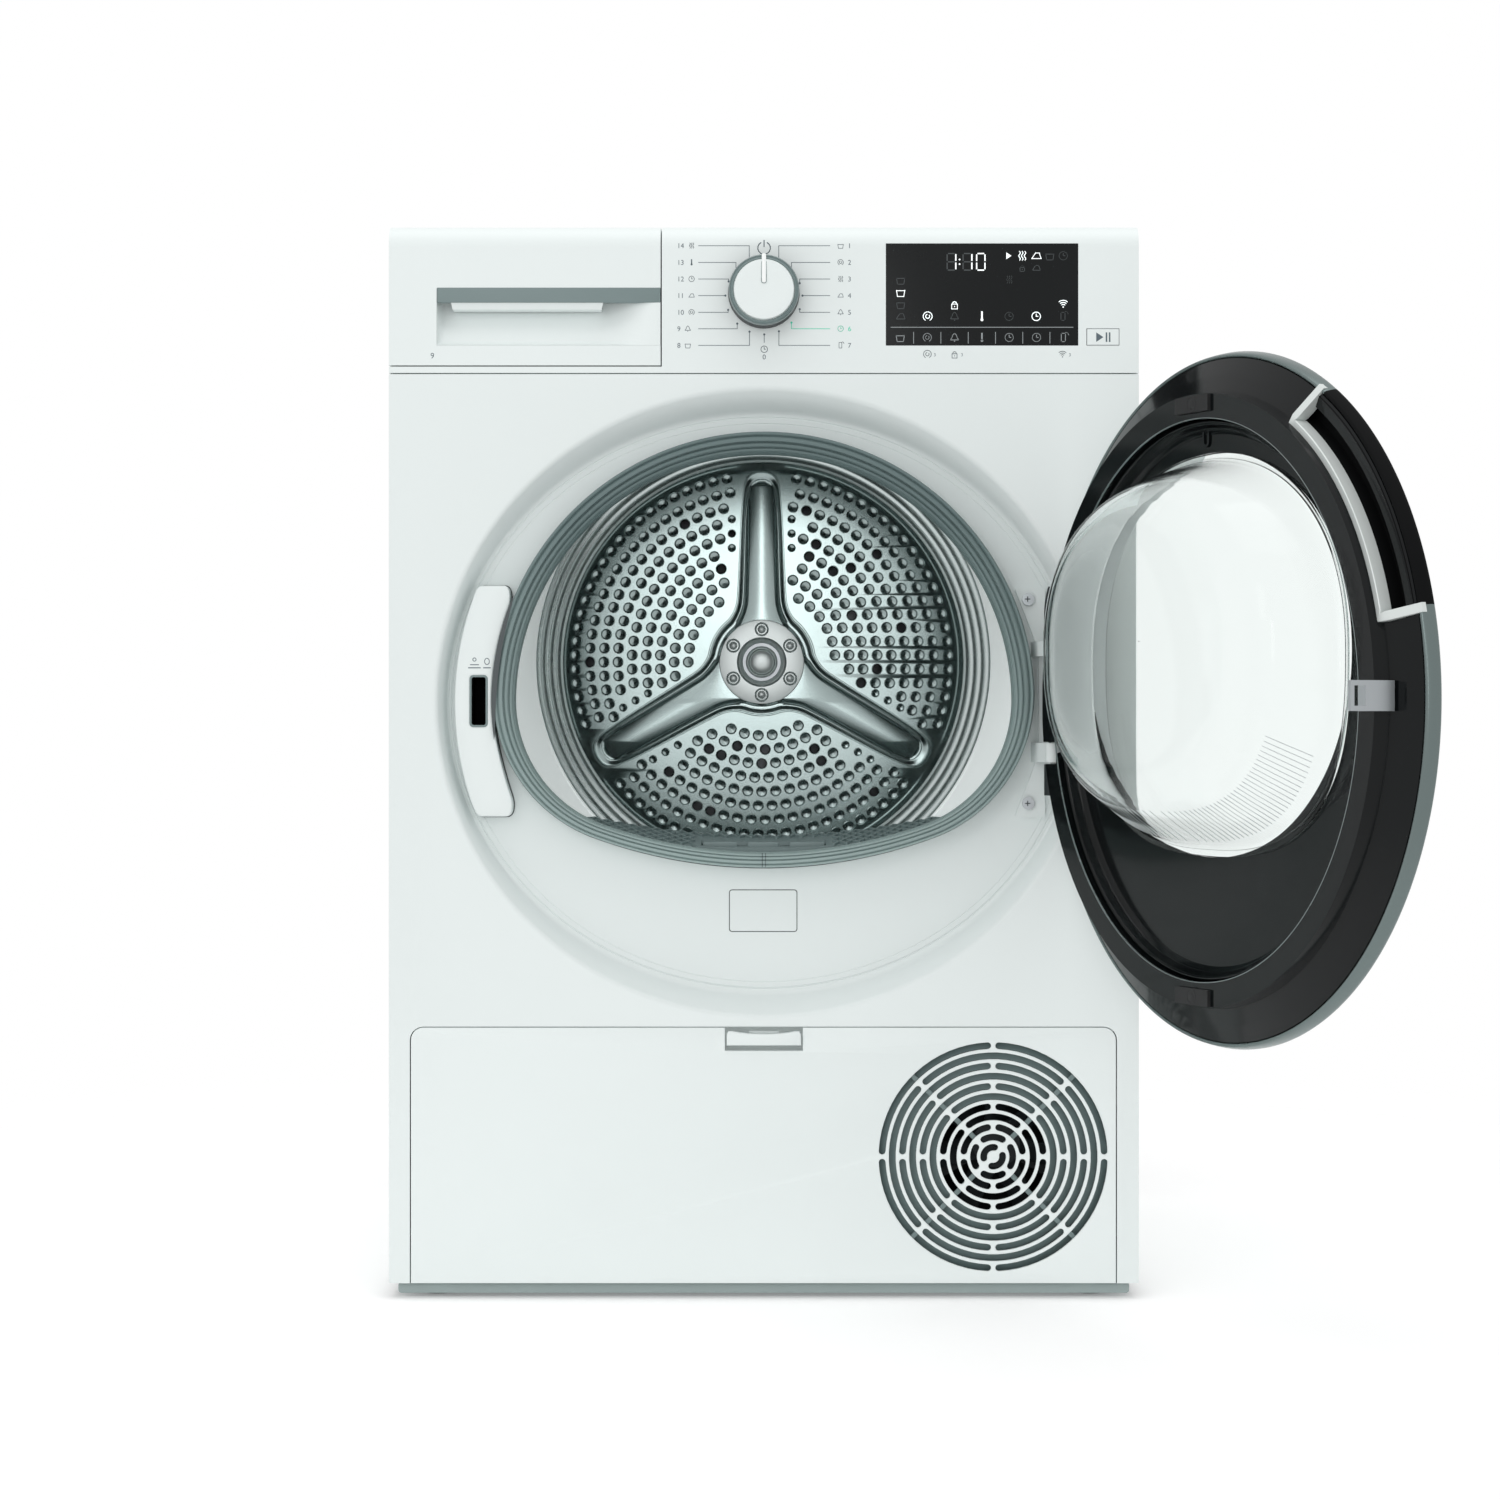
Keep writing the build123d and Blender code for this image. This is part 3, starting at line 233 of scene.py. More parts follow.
def box_outline(x0, x1, z0, z1, r=0.0, n=6):
    """A rectangle with rounded corners, anticlockwise."""
    if not r:
        return [(x0, z0), (x1, z0), (x1, z1), (x0, z1)]
    points = []
    centres = ((x1 - r, z1 - r), (x0 + r, z1 - r), (x0 + r, z0 + r), (x1 - r, z0 + r))
    for k, (cx, cz) in enumerate(centres):
        points += ellipse(r, r, n, cx, cz, 90 * k, 90 * k + 90)
    return points


def inset(points, amount):
    """The outline moved inwards; an anticlockwise outline shrinks."""
    moved, n = [], len(points)
    for k in range(n):
        before, here, after = (Vector(points[(k + i) % n]) for i in (-1, 0, 1))
        a, b = (here - before).normalized(), (after - here).normalized()
        na, nb = Vector((-a.y, a.x)), Vector((-b.y, b.x))
        mitre = (na + nb) / max(0.4, 1 + na.dot(nb))
        moved.append(tuple(here + mitre * amount))
    return moved


def rounded(points, times=2):
    """Cuts the corners of a closed outline, so that it turns smoothly."""
    for _ in range(times):
        cut = []
        for k, here in enumerate(points):
            after = points[(k + 1) % len(points)]
            for w in (0.25, 0.75):
                cut.append(tuple(p + (q - p) * w for p, q in zip(here, after)))
        points = cut
    return points


class Shape:
    """Collects the points and faces of one piece of a body, drawn in that body's own frame."""

    def __init__(self, body="cabinet"):
        self.body, self.place = body, {"door": on_door, "drum": in_drum}.get(body, at)
        self.points, self.faces, self.slots = [], [], []

    def add(self, points, faces, slot=0):
        first = len(self.points)
        self.points += [self.place(*p) for p in points]
        self.faces += [[first + i for i in f] for f in faces]
        self.slots += [slot] * len(faces)

    def loft(self, loops, slot=0, closed=True, wrap=False):
        """Faces between loops of equal length; wrap joins the last loop to the first."""
        n, m = len(loops[0]), len(loops)
        faces = []
        for i in range(m if wrap else m - 1):
            low, high = i * n, (i + 1) % m * n
            for j in range(n if closed else n - 1):
                k = (j + 1) % n
                faces.append((low + j, low + k, high + k, high + j))
        self.add([p for loop in loops for p in loop], faces, slot)

    def fill(self, outlines, d, slot=0):
        """A flat face at depth d inside the first outline and outside the others."""
        flat = [[Vector((x, z, 0)) for x, z in line] for line in outlines]
        points = [(x, d, z) for line in outlines for x, z in line]
        self.add(points, tessellate_polygon(flat), slot)

    def plate(self, outlines, d0, d1, edge=0.0, slot=0):
        """A plate with holes whose front edges are rounded over by edge."""
        steps = ((edge, 0.0), (edge * 0.3, edge * 0.3), (0.0, edge)) if edge else ((0.0, 0.0),)
        for k, line in enumerate(outlines):
            area = sum(p[0] * q[1] - q[0] * p[1] for p, q in zip(line, line[1:] + line[:1]))
            if (area > 0) != (k == 0):
                outlines[k] = line = line[::-1]
            sides = [[(x, d0 + deep, z) for x, z in inset(line, back)] for back, deep in steps]
            self.loft(sides + [[(x, d1, z) for x, z in line]], slot)
        self.fill([inset(line, edge) for line in outlines], d0, slot)
        self.fill(outlines, d1, slot)

    def turn(self, profile, x=0.0, z=0.0, n=96, wrap=False, slot=0):
        """A profile of (radius, depth) turned about the line through x and z."""
        loops = [[(u, d, v) for u, v in ellipse(r, r, n, x, z)] for r, d in profile]
        self.loft(loops, slot, wrap=wrap)

    def make(self, name, finish, record_slot=None, replaces=None, sharp=38):
        """Builds the piece. record_slot is not used."""
        finishes = [finish] if isinstance(finish, str) else finish
        mesh = bpy.data.meshes.new(name)
        mesh.from_pydata(self.points, [], self.faces)
        for used in finishes:
            mesh.materials.append(SKINS[used])
        mesh.polygons.foreach_set("material_index", self.slots)
        work = bmesh.new()
        work.from_mesh(mesh)
        bmesh.ops.remove_doubles(work, verts=work.verts, dist=2e-6)
        bmesh.ops.dissolve_degenerate(work, edges=work.edges, dist=1e-7)
        bmesh.ops.recalc_face_normals(work, faces=work.faces)
        work.to_mesh(mesh)
        work.free()
        mesh.polygons.foreach_set("use_smooth", [True] * len(mesh.polygons))
        mesh.set_sharp_from_angle(angle=radians(sharp))
        piece = put(name, mesh)
        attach(piece, self.body)
        if replaces:
            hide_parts(replaces)

# --- cabinet front ---
def opening_loop(t, d, n=240):
    """The door opening's outline, from the gasket's outer edge (t = 0) to its inner edge (1)."""
    radius, corner, bottom, low = (a + (b - a) * t for a, b in
                                   ((216.6, 199.1), (122.4, 106.0), (398.0, 386.0), (131.8, 119.9)))
    reach, rise, span = radius - corner, bottom - low, bottom - corner
    cz = (reach ** 2 - span ** 2 + rise ** 2) / (2 * rise)
    cx = sqrt(reach ** 2 - cz ** 2)
    side = atan2(cz, cx)
    foot = atan2((cz - rise) * bottom / span + rise, cx * bottom / span)
    loop = []
    for k in range(n):
        angle = radians(90) + 2 * pi * k / n
        u = (cos(angle), sin(angle))
        bend = atan2(u[1], abs(u[0]))
        if bend >= side:
            r = radius
        else:
            centre, size = ((cx, cz), corner) if bend > foot else ((0, rise), bottom)
            dot = abs(u[0]) * centre[0] + u[1] * centre[1]
            r = dot + sqrt(dot ** 2 - centre[0] ** 2 - centre[1] ** 2 + size ** 2)
        loop.append((r * u[0], d, OPEN_Z + r * u[1]))
    return loop


def seal_edge(d, grow):
    """The opening's outline moved outwards by grow."""
    loop = []
    for x, _, z in opening_loop(0.0, 0):
        share = 1 + grow / hypot(x, z - OPEN_Z)
        loop.append((x * share, d, OPEN_Z + (z - OPEN_Z) * share))
    return loop


def oval_loop(a, b, d, n=240):
    return [(x, d, z) for x, z in ellipse(a, b, n, 0, OPEN_Z, 90, 450)]


def make_front_panel():
    """The pressed front with its oval recess; the recess floor runs in under the seal."""
    panel = Shape()
    flap = box_outline(-281.8, 281.1, -60, 216.7, 10.8)
    top = [p for p in flap if p[1] > 100]
    outline = [(-294.5, 12.4), (-281.8, 12.4)] + top[::-1] + [(281.1, 12.4), (294.5, 12.4), (297.3, 13.6)]
    outline += [(298.5, 16.4), (298.5, 736), (-298.5, 736), (-298.5, 16.4), (-297.3, 13.6)]
    lip = [(263.6, 252.8, 0), (261.6, 250.8, 0.35), (260.3, 249.4, 1.3), (259.3, 247.6, 3.2)]
    slope = [(256.6, 239.2, 17), (255.4, 235.6, 23.5), (254.4, 233.4, 26), (252.8, 231.4, 27)]
    groove = [(251.4, 230.0, 27), (251.1, 229.7, 27.7), (250.3, 228.9, 27.7), (250.0, 228.6, 27)]
    step = [(246.2, 224.8, 27), (246.0, 224.6, 27.35), (245.5, 224.1, 27.35), (245.3, 223.9, 27)]
    front = [oval_loop(*row) for row in lip + slope + groove + step]
    edge, under = seal_edge(27.0, 0.5), seal_edge(28.0, 0.5)
    behind = [(245, 224, 28.2), (255.6, 236, 28.2), (258.2, 243.2, 17), (262, 251, 1.0)]
    back = [oval_loop(*row) for row in behind]

    def strips(first, last):
        """The recess floor between two loops, in strips narrow enough for the lock's opening."""
        return [[tuple(p + (q - p) * k / 8 for p, q in zip(a, b)) for a, b in zip(first, last)]
                for k in range(1, 8)]

    panel.fill([outline, face_on(front[0])], 0)
    panel.loft(front + strips(front[-1], edge) + [edge, under] + strips(under, back[0]) + back)
    panel.loft([[(x, d, z) for x, z in outline] for d in (0, 1.0)])
    panel.fill([outline, face_on(back[-1])], 1.0)
    # the floor is open behind the latch cover, where the door's hook goes through to the lock
    low, high = at(-237.5, 26, 452.5), at(-217.0, 29, 499.5)
    middles = [sum((panel.points[k] for k in face), Vector()) / len(face) for face in panel.faces]
    kept = [k for k, m in enumerate(middles) if not all(low[i] < m[i] < high[i] for i in range(3))]
    panel.faces, panel.slots = [panel.faces[k] for k in kept], [0] * len(kept)
    panel.make("front_panel_skin", "white_enamel", replaces="front_panel", sharp=30)
    # the blank label's frame is a fine groove, its shade painted as a dark line let into the panel
    label = Shape()
    label.plate([box_outline(-27.9, 27.1, 290.3, 324.5, 2.5), box_outline(-27.2, 26.4, 291.0, 323.8, 1.9)],
                26.93, 27.2)
    label.make("label_groove_painted_shade", "seam", "dark_plastic")


def make_gasket():
    """The ribbed seal round the opening, a dark ring of painted shadow round it on the recess floor and two
    dark lines across its foot.
    """
    ribs = [(0.0, 26.8), (0.0, 10.0), (0.015, 7.6), (0.05, 6.3), (0.10, 6.05), (0.14, 6.4), (0.165, 7.4),
            (0.20, 8.2), (0.235, 7.6), (0.27, 6.7), (0.34, 6.3), (0.43, 6.5), (0.455, 7.6), (0.47, 9.4),
            (0.50, 9.6), (0.53, 8.3), (0.58, 7.9), (0.66, 8.2), (0.69, 9.2), (0.705, 11.2), (0.74, 11.6),
            (0.77, 10.6), (0.83, 10.6), (0.88, 11.6), (0.90, 13.6), (0.93, 14.2), (0.96, 14.0),
            (1.0, 16.0), (1.0, 26.8)]
    gasket = Shape()
    gasket.loft([opening_loop(t, d) for t, d in ribs], wrap=True)
    gasket.make("opening_seal", "seal_rubber", "grey_rubber", replaces="opening_gasket", sharp=60)
    # a dark ring on the recess floor round the seal paints the shadow in the corner where they meet
    seam = Shape()
    seam.loft([seal_edge(d, grow) for d, grow in ((26.95, 1.4), (26.6, 1.2), (26.6, 0.0))])
    low = [opening_loop(t, d)[120] for t, d in ribs[3:-2]]
    for sides in ((-1.5, -0.9), (1.2, 1.7)):
        seam.loft([[(x + side, d - 0.12, z) for x, d, z in low] for side in sides], closed=False)
    seam.make("seal_shadow_and_lines", "seam", "dark_plastic")


def make_latch_cover():
    """A curved strip between the recess wall and the gasket, with the lock's slot."""
    left = [(-246.9 * sqrt(1 - (v / 246.4) ** 2), v) for v in range(84, -85, -8)]
    right = [(-217.4 + 17 * (-v / 80) ** 1.6, v) for v in range(-80, 0, 10)]
    right += [(-sqrt(217.4 ** 2 - v ** 2), v) for v in range(0, 81, 10)]
    low = [(-228.5, -91), (-220, -91), (-211, -91), (-202, -91)]
    high = [(-203.5, 93.4), (-212, 93.4), (-220, 93.4), (-228.5, 93.4)]
    outline = rounded([(x, OPEN_Z + v) for x, v in left + low + right + high], 3)
    slot = box_outline(-234.4, -221.0, 455.6, 496.0, 2.4, 5)
    cover = Shape()
    cover.plate([outline, slot], 8.0, 26.6, 1.3)
    cover.make("latch_cover_skin", "white_plastic", replaces="latch_cover", sharp=45)
    # a dark band round the cover's foot on the recess floor is painted shadow
    gap = Shape()
    gap.plate([inset(outline, -0.9), inset(outline, 0.3)], 26.3, 26.9)
    # a dark crescent between the cover's right edge and the seal is painted shade on the seal's outer flank
    arc_v = [86 - 116 * k / 30 for k in range(31)]
    outer = [(-sqrt(217.3 ** 2 - v ** 2), OPEN_Z + v) for v in arc_v]
    thick = [4.4 * sin(pi * k / 30) ** 0.6 for k in range(31)]
    inner = [(x + w, z) for (x, z), w in zip(outer, thick)]
    gap.plate([outer + inner[-2:0:-1]], 5.7, 6.0)
    gap.make("latch_painted_shadow", "seam", "dark_plastic")
    bezel = Shape()
    bezel.plate([box_outline(-235.0, -220.4, 455.0, 496.6, 3.0, 5),
                 box_outline(-233.3, -222.1, 456.7, 494.9, 1.6, 5)], 7.6, 12, 0.5)
    bezel.make("lock_bezel", "grey_plastic")
    # a plain basket and droplet mark above the slot
    mark = Shape()
    outlines = [[box_outline(*ends)] for ends in ((-236, -226, 502, 502.8), (-224, -218, 502, 502.8),
                                                  (-234.5, -227.5, 504.5, 505.2))]
    for a, b, x, z in ((2.2, 2.8, -221, 507.5), (1.6, 1.6, -231, 509)):
        outlines.append([ellipse(a, b, 20, x, z), ellipse(a - 0.6, b - 0.6, 20, x, z)])
    for lines in outlines:
        mark.plate(lines, 7.93, 8.1)
    mark.make("latch_mark", "print_ink", "grey_plastic")


def make_hinge_screws():
    """Cross-head screws through the white hinge plate, above and below the door's hinge; the shade in their
    cross recesses is painted as dark crosses.
    """
    heads, cross = Shape(), Shape()
    x, head = 211.8, [(4.3, 24.1), (4.2, 22.9), (3.4, 22.0), (1.8, 21.6), (0.05, 21.5)]
    for z in (557.8, 393.8):
        heads.turn(head, x, z, 28)
        for u, v in ((2.2, 0.45), (0.45, 2.2)):
            cross.plate([box_outline(x - u, x + u, z - v, z + v)], 21.44, 21.6)
    heads.make("hinge_screws", "steel")
    cross.make("hinge_screw_cross_shade", "seam", "dark_plastic")


def sill_point(x, run):
    """A point of the sloping trough below the opening, run mm behind its front edge."""
    c, s = cos(radians(8)), sin(radians(8))
    bow = 643 - sqrt(643 ** 2 - x ** 2)
    return x, 12 + run * c - bow * s, 355 + run * s + bow * c


def make_sill():
    """The sloping trough's lattice of slanting bars, open in the middle for the lint filter."""
    lattice = Shape()

    def inside(x, run):
        """Whether a point is within the neck, and clear of the seal near the front."""
        px, d, z = sill_point(x, run)
        share = max(0.0, d - 28) / 61
        reach = hypot(px, z - OPEN_Z - 33.4 * share)
        return reach < 198.5 - 12.5 * share and run < 72 and (d > 28 or abs(px) < 150)

    def bar(a, b, half, thick):
        (xa, ra), (xb, rb) = a, b
        along = Vector((xb - xa, rb - ra)).normalized()
        nx, nr = -along.y * half, along.x * half
        corners = [(xa - nx, ra - nr), (xb - nx, rb - nr), (xb + nx, rb + nr), (xa + nx, ra + nr)]
        low = [sill_point(*corner) for corner in corners]
        high = [(x, d, z + thick) for x, d, z in low]
        lattice.loft([low, high])
        lattice.add(high, [(0, 1, 2, 3)])

    pitch, row_run, filter_half = 10.2, 9.2, 58
    for k in range(-18, 18):
        for j in range(1, 7):
            for way in (-1, 1):
                a = (k * pitch + (j % 2) * pitch / 2, 6 + j * row_run)
                b = (a[0] + way * pitch / 2, a[1] + row_run)
                over_filter = abs(a[0]) < filter_half and abs(b[0]) < filter_half and 14 < a[1] < 58
                if inside(*a) and inside(*b) and not over_filter:
                    bar(a, b, 0.8, 2.0)
    lattice.make("sill_lattice", "grey_plastic")


def make_filter_handle():
    handle = Shape("filter")
    for x0, x1 in ((-49, -21), (-12.8, 12.2), (21, 49)):
        handle.plate([box_outline(x0, x1, 357.6, 362.4, 1.6, 4)], 35, 39, 0.8)
    handle.plate([box_outline(-49, 49, 356.6, 358.4, 0.6, 3)], 34, 55, 0.4)
    handle.make("filter_handle", "grey_plastic")

# --- control front ---
def digit(shape, x, z, high, shown, d):
    """One seven-segment figure, its lower left corner at x, z."""
    wide, half = high * 0.5, high * 0.075 / 2
    bars = {"a": (0.1, 1.0, 0.9, 1.0), "g": (0.1, 0.5, 0.9, 0.5), "d": (0.1, 0.0, 0.9, 0.0),
            "f": (0.0, 0.55, 0.0, 0.95), "b": (1.0, 0.55, 1.0, 0.95),
            "e": (0.0, 0.05, 0.0, 0.45), "c": (1.0, 0.05, 1.0, 0.45)}
    for name in {"0": "abcdef", "1": "bc", "8": "abcdefg"}[shown]:
        u0, v0, u1, v1 = bars[name]
        du, dv = (0, half) if v0 == v1 else (half, 0)
        ends = x + u0 * wide - du, x + u1 * wide + du, z + v0 * high - dv, z + v1 * high + dv
        shape.fill([box_outline(*ends)], d)


def stroke(shape, points, wide, d, close=False):
    """A thin printed line along some points."""
    count = len(points)
    for k in range(count if close else count - 1):
        a, b = Vector(points[k]), Vector(points[(k + 1) % count])
        side = Vector((a.y - b.y, b.x - a.x)).normalized() * wide / 2
        over = (b - a).normalized() * wide * 0.3
        a, b = a - over, b + over
        shape.fill([[tuple(p) for p in (a - side, b - side, b + side, a + side)]], d)


def icon(shape, kind, x, z, s, d, w):
    """Generic pictograms, s high, drawn with lines w wide; u and v are shares of s from the middle."""
    def line(points, close=False, wide=w):
        stroke(shape, [(x + u * s, z + v * s) for u, v in points], wide, d, close)

    def bow(r, start, stop, n=14, u=0.0, v=0.0):
        arc = ellipse(r * s, r * s, n, x + u * s, z + v * s, start, stop)
        stroke(shape, arc, w, d, stop - start >= 360)

    def dot(a, b, v, n=8):
        shape.fill([ellipse(w * a, w * b, n, x, z + v * s)], d)

    if kind == "power":
        bow(0.5, 120, 420)
        line([(0, 0.1), (0, 0.62)])
    elif kind == "clock":
        bow(0.5, 0, 360, 20)
        line([(0, 0.3), (0, 0), (0.225, 0)])
    elif kind == "lock":
        line(box_outline(-0.32, 0.32, -0.5, 0.05), True)
        bow(0.22, 0, 180, 8, v=0.1)
        dot(0.7, 1.0, -0.22)
    elif kind == "bell":
        line([(-0.5, -0.3), (-0.3, 0), (-0.22, 0.3), (0, 0.5), (0.22, 0.3), (0.3, 0), (0.5, -0.3)], True)
        dot(1.0, 0.8, -0.45)
    elif kind == "heat":
        line([(0, -0.3), (0, 0.5)], wide=w * 2.2)
        dot(1.9, 1.9, -0.38, 10)
    elif kind == "waves":
        for u in (-0.3, 0.0, 0.3):
            line([(u + 0.09 * sin(k * 1.2), k / 8 - 0.5) for k in range(9)])
    elif kind == "radio":
        for r in (0.28, 0.496, 0.72):
            bow(r, 50, 130, 8, v=-0.35)
        dot(1.0, 1.0, -0.35)
    elif kind == "play":
        shape.fill([[(x - 0.35 * s, z - 0.5 * s), (x + 0.4 * s, z), (x - 0.35 * s, z + 0.5 * s)]], d)
    elif kind == "tub":
        line([(-0.5, 0.25), (-0.38, -0.5), (0.38, -0.5), (0.5, 0.25)])
        line([(-0.5, 0.2), (0.5, 0.2)])
    elif kind == "swirl":
        bow(0.5, -60, 240)
        bow(0.225, 100, 400, 10)
    elif kind == "phone":
        line(box_outline(-0.28, 0.22, -0.5, 0.5, 0.06, 3), True)
        bow(0.3, 0, 100, 6, 0.3, 0.3)
    elif kind == "board":
        line([(-0.5, -0.3), (0.5, -0.3), (0.3, 0.3), (-0.1, 0.3)], True)


def number(shape, text, x, z, high, d, align="LEFT"):
    """Plain numerals printed on the front."""
    curve = bpy.data.curves.new("numeral", "FONT")
    curve.body, curve.size, curve.align_x = text, high * 1.38, align
    holder = put("numeral", curve)
    bpy.context.view_layer.update()
    mesh = bpy.data.meshes.new_from_object(holder.evaluated_get(bpy.context.evaluated_depsgraph_get()))
    points = [(x + v.co.x, d, z + v.co.y) for v in mesh.vertices]
    shape.add(points, [tuple(p.vertices) for p in mesh.polygons])
    bpy.data.objects.remove(holder)
    bpy.data.curves.remove(curve)
    bpy.data.meshes.remove(mesh)


def make_dial_print():
    """Leader lines, dots and numerals round the programme knob, with a few pictograms."""
    ink, teal = Shape(), Shape()
    d, w, cz = -0.06, 0.5, 798.0
    heights = (838.2, 824.9, 811.7, 798.5, 785.2, 772.1, 758.9)
    left = [(-11.6, "14", "waves"), (-22.2, "13", "heat"), (-28.0, "12", "clock"), (-30.6, "11", "board"),
            (-28.4, "10", "swirl"), (-21.2, "9", "bell"), (-11.4, "8", "tub")]
    right = [(11.9, "1", "tub"), (22.0, "2", "swirl"), (28.6, "3", "waves"), (30.8, "4", "board"),
             (28.6, "5", "bell"), (22.0, "6", "clock"), (12.0, "7", "phone")]
    for rows, edge, way in ((left, -69.0, 1), (right, 69.6, -1)):
        for z, (turn, name, kind) in zip(heights, rows):
            shape = teal if name == "6" else ink
            reach = sqrt(max(0.0, 30.4 ** 2 - turn ** 2))
            dot = (turn, cz + reach if z > cz + 2 else cz - reach if z < cz - 2 else z)
            number(shape, name, edge, z - 1.9, 4.0, d, "LEFT" if way > 0 else "RIGHT")
            icon(shape, kind, edge + way * (11.5 if len(name) > 1 else 8.5), z + 0.1, 4.4, d, 0.42)
            stroke(shape, [(edge + way * 17, z), (turn, z)], w, d)
            if abs(dot[1] - z) > 0.5:
                stroke(shape, [(turn, z), dot], w, d)
            shape.fill([ellipse(0.85, 0.85, 14, *dot)], d - 0.01)
    icon(ink, "power", 0.2, 836.4, 10.0, d, 0.8)
    stroke(ink, [(0.3, 767.6), (0.3, 761.2)], w, d)
    ink.fill([ellipse(0.85, 0.85, 14, 0.3, 767.6)], d)
    icon(ink, "clock", 0.3, 755.8, 5.2, d, 0.5)
    number(ink, "0", 0.3, 747.8, 4.0, d, "CENTER")
    for x, kind in ((130.2, "swirl"), (151.8, "lock"), (237.7, "radio")):
        icon(ink, kind, x, 751.9, 6.2, d, 0.5)
        number(ink, "3", x + 5.0, 750.2, 2.6, d)
    number(ink, "9", -265.4, 748.5, 4.6, d)
    key_frame = box_outline(257.2, 282.8, 759.1, 772.1, 1.4)
    ink.fill([key_frame, box_outline(257.7, 282.3, 759.6, 771.6, 1.0)[::-1]], d)
    ink.make("front_print", "print_ink", "dark_plastic")
    teal.make("front_print_teal", "print_teal", "dark_plastic")
    key = Shape("start_key")
    icon(key, "play", 267.2, 765.4, 7.6, -0.36, 0.5)
    for x in (272.7, 275.2):
        key.fill([box_outline(x - 0.6, x + 0.6, 761.6, 769.2)], -0.36)
    key.make("start_key_print", "print_ink", "dark_plastic")


def make_display():
    """The lit and the unlit marks behind the window, and the line of touch keys below them."""
    lit, dim, touch = Shape(), Shape(), Shape()
    d = -0.05
    for shape, x, shown in ((dim, 145.9, "8"), (dim, 158.6, "8"), (lit, 169.4, "0")):
        digit(shape, x, 818.8, 13.2, shown, d)
    for x in (146.1, 158.9):
        digit(lit, x, 818.8, 13.4, "1", d - 0.01)
    for z in (823.6, 827.2):
        lit.fill([ellipse(0.7, 0.7, 10, 155.8, z)], d)
    lit_icons = ((194.9, 830.2, "play", 5.4), (205.7, 830.2, "waves", 7.2), (217.0, 830.2, "board", 7.4),
                 (108.9, 801.1, "tub", 6.6), (151.8, 791.4, "lock", 7.0), (238.3, 792.0, "radio", 7.4),
                 (130.4, 782.0, "swirl", 7.2), (173.6, 782.0, "heat", 7.2), (216.8, 782.0, "clock", 6.8))
    dim_icons = ((227.6, 830.2, "tub", 6.6), (238.3, 830.2, "clock", 6.6), (205.7, 820.6, "lock", 5.6),
                 (216.9, 820.6, "board", 6.4), (195.4, 811.3, "waves", 5.6), (108.9, 810.9, "tub", 6.6),
                 (108.9, 791.4, "tub", 6.6), (108.9, 782.0, "board", 7.0), (151.8, 782.0, "bell", 6.8),
                 (195.2, 782.0, "clock", 6.6), (238.3, 782.0, "phone", 6.4))
    keys = ((108.6, "tub"), (130.1, "swirl"), (151.8, "bell"), (173.6, "heat"), (195.3, "clock"),
            (217.0, "clock"), (238.6, "phone"))
    for shape, rows, wide in ((lit, lit_icons, 0.6), (dim, dim_icons, 0.55)):
        for x, z, kind, s in rows:
            icon(shape, kind, x, z, s, d, wide)
    for k, (x, kind) in enumerate(keys):
        icon(touch, kind, x, 765.2, 6.6, d, 0.55)
        if k:
            stroke(touch, [(x - 10.9, 769.4), (x - 10.9, 760.5)], 0.5, d)
    stroke(touch, [(101.2, 773.3), (246.2, 773.3)], 0.55, d)
    lit.make("display_lit", "display_lit", "black_gloss")
    dim.make("display_dim", "display_dim", "black_gloss")
    touch.make("display_keys", "display_keys", "black_gloss")


def make_knob():
    """The programme knob: dark foot, silver and grey rings, white cap and its raised pointer."""
    low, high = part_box("programme_knob")
    z = (low.z + high.z) / 2 / MM
    body = Shape("knob")
    foot = [(5.5, 12), (5.5, -0.4), (27.6, -0.5), (28.4, -1.2), (28.5, -3), (28.3, -8), (28.0, -18.6)]
    silver = [(28.0, -18.6), (28.0, -20.4), (27.6, -21.5), (27.2, -21.8)]
    grey = [(27.2, -21.8), (26.9, -21.2), (26.4, -21.0), (25.3, -21.6), (24.6, -22.2), (24.3, -21.4)]
    cap = [(24.3, -21.4), (24.1, -20.4), (23.75, -20.4), (23.7, -24.2), (23.3, -24.9), (22.4, -25.0),
           (14, -24.7), (0.05, -24.5)]
    for profile, slot in ((foot, 2), (silver, 1), (grey, 3), (cap, 0)):
        body.turn(profile, 0, z, 128, slot=slot)
    body.make("knob_body", ["white_plastic", "silver_plastic", "dark_plastic", "grey_plastic"],
              replaces="programme_knob", sharp=50)
    bar = Shape("knob")
    bar.plate([box_outline(-1.75, 1.75, z + 5.0, z + 28.2, 1.4, 5)], -25.0, -21.5, 0.5)
    bar.make("knob_pointer", "bright_white", "white_plastic")
    groove = Shape("knob")
    groove.plate([box_outline(-2.15, 2.15, z + 4.6, z + 23.4, 1.7, 5),
                  box_outline(-1.76, 1.76, z + 5.0, z + 23.6, 1.4, 5)], -24.98, -24.2)
    groove.make("knob_pointer_edge", "grey_plastic")


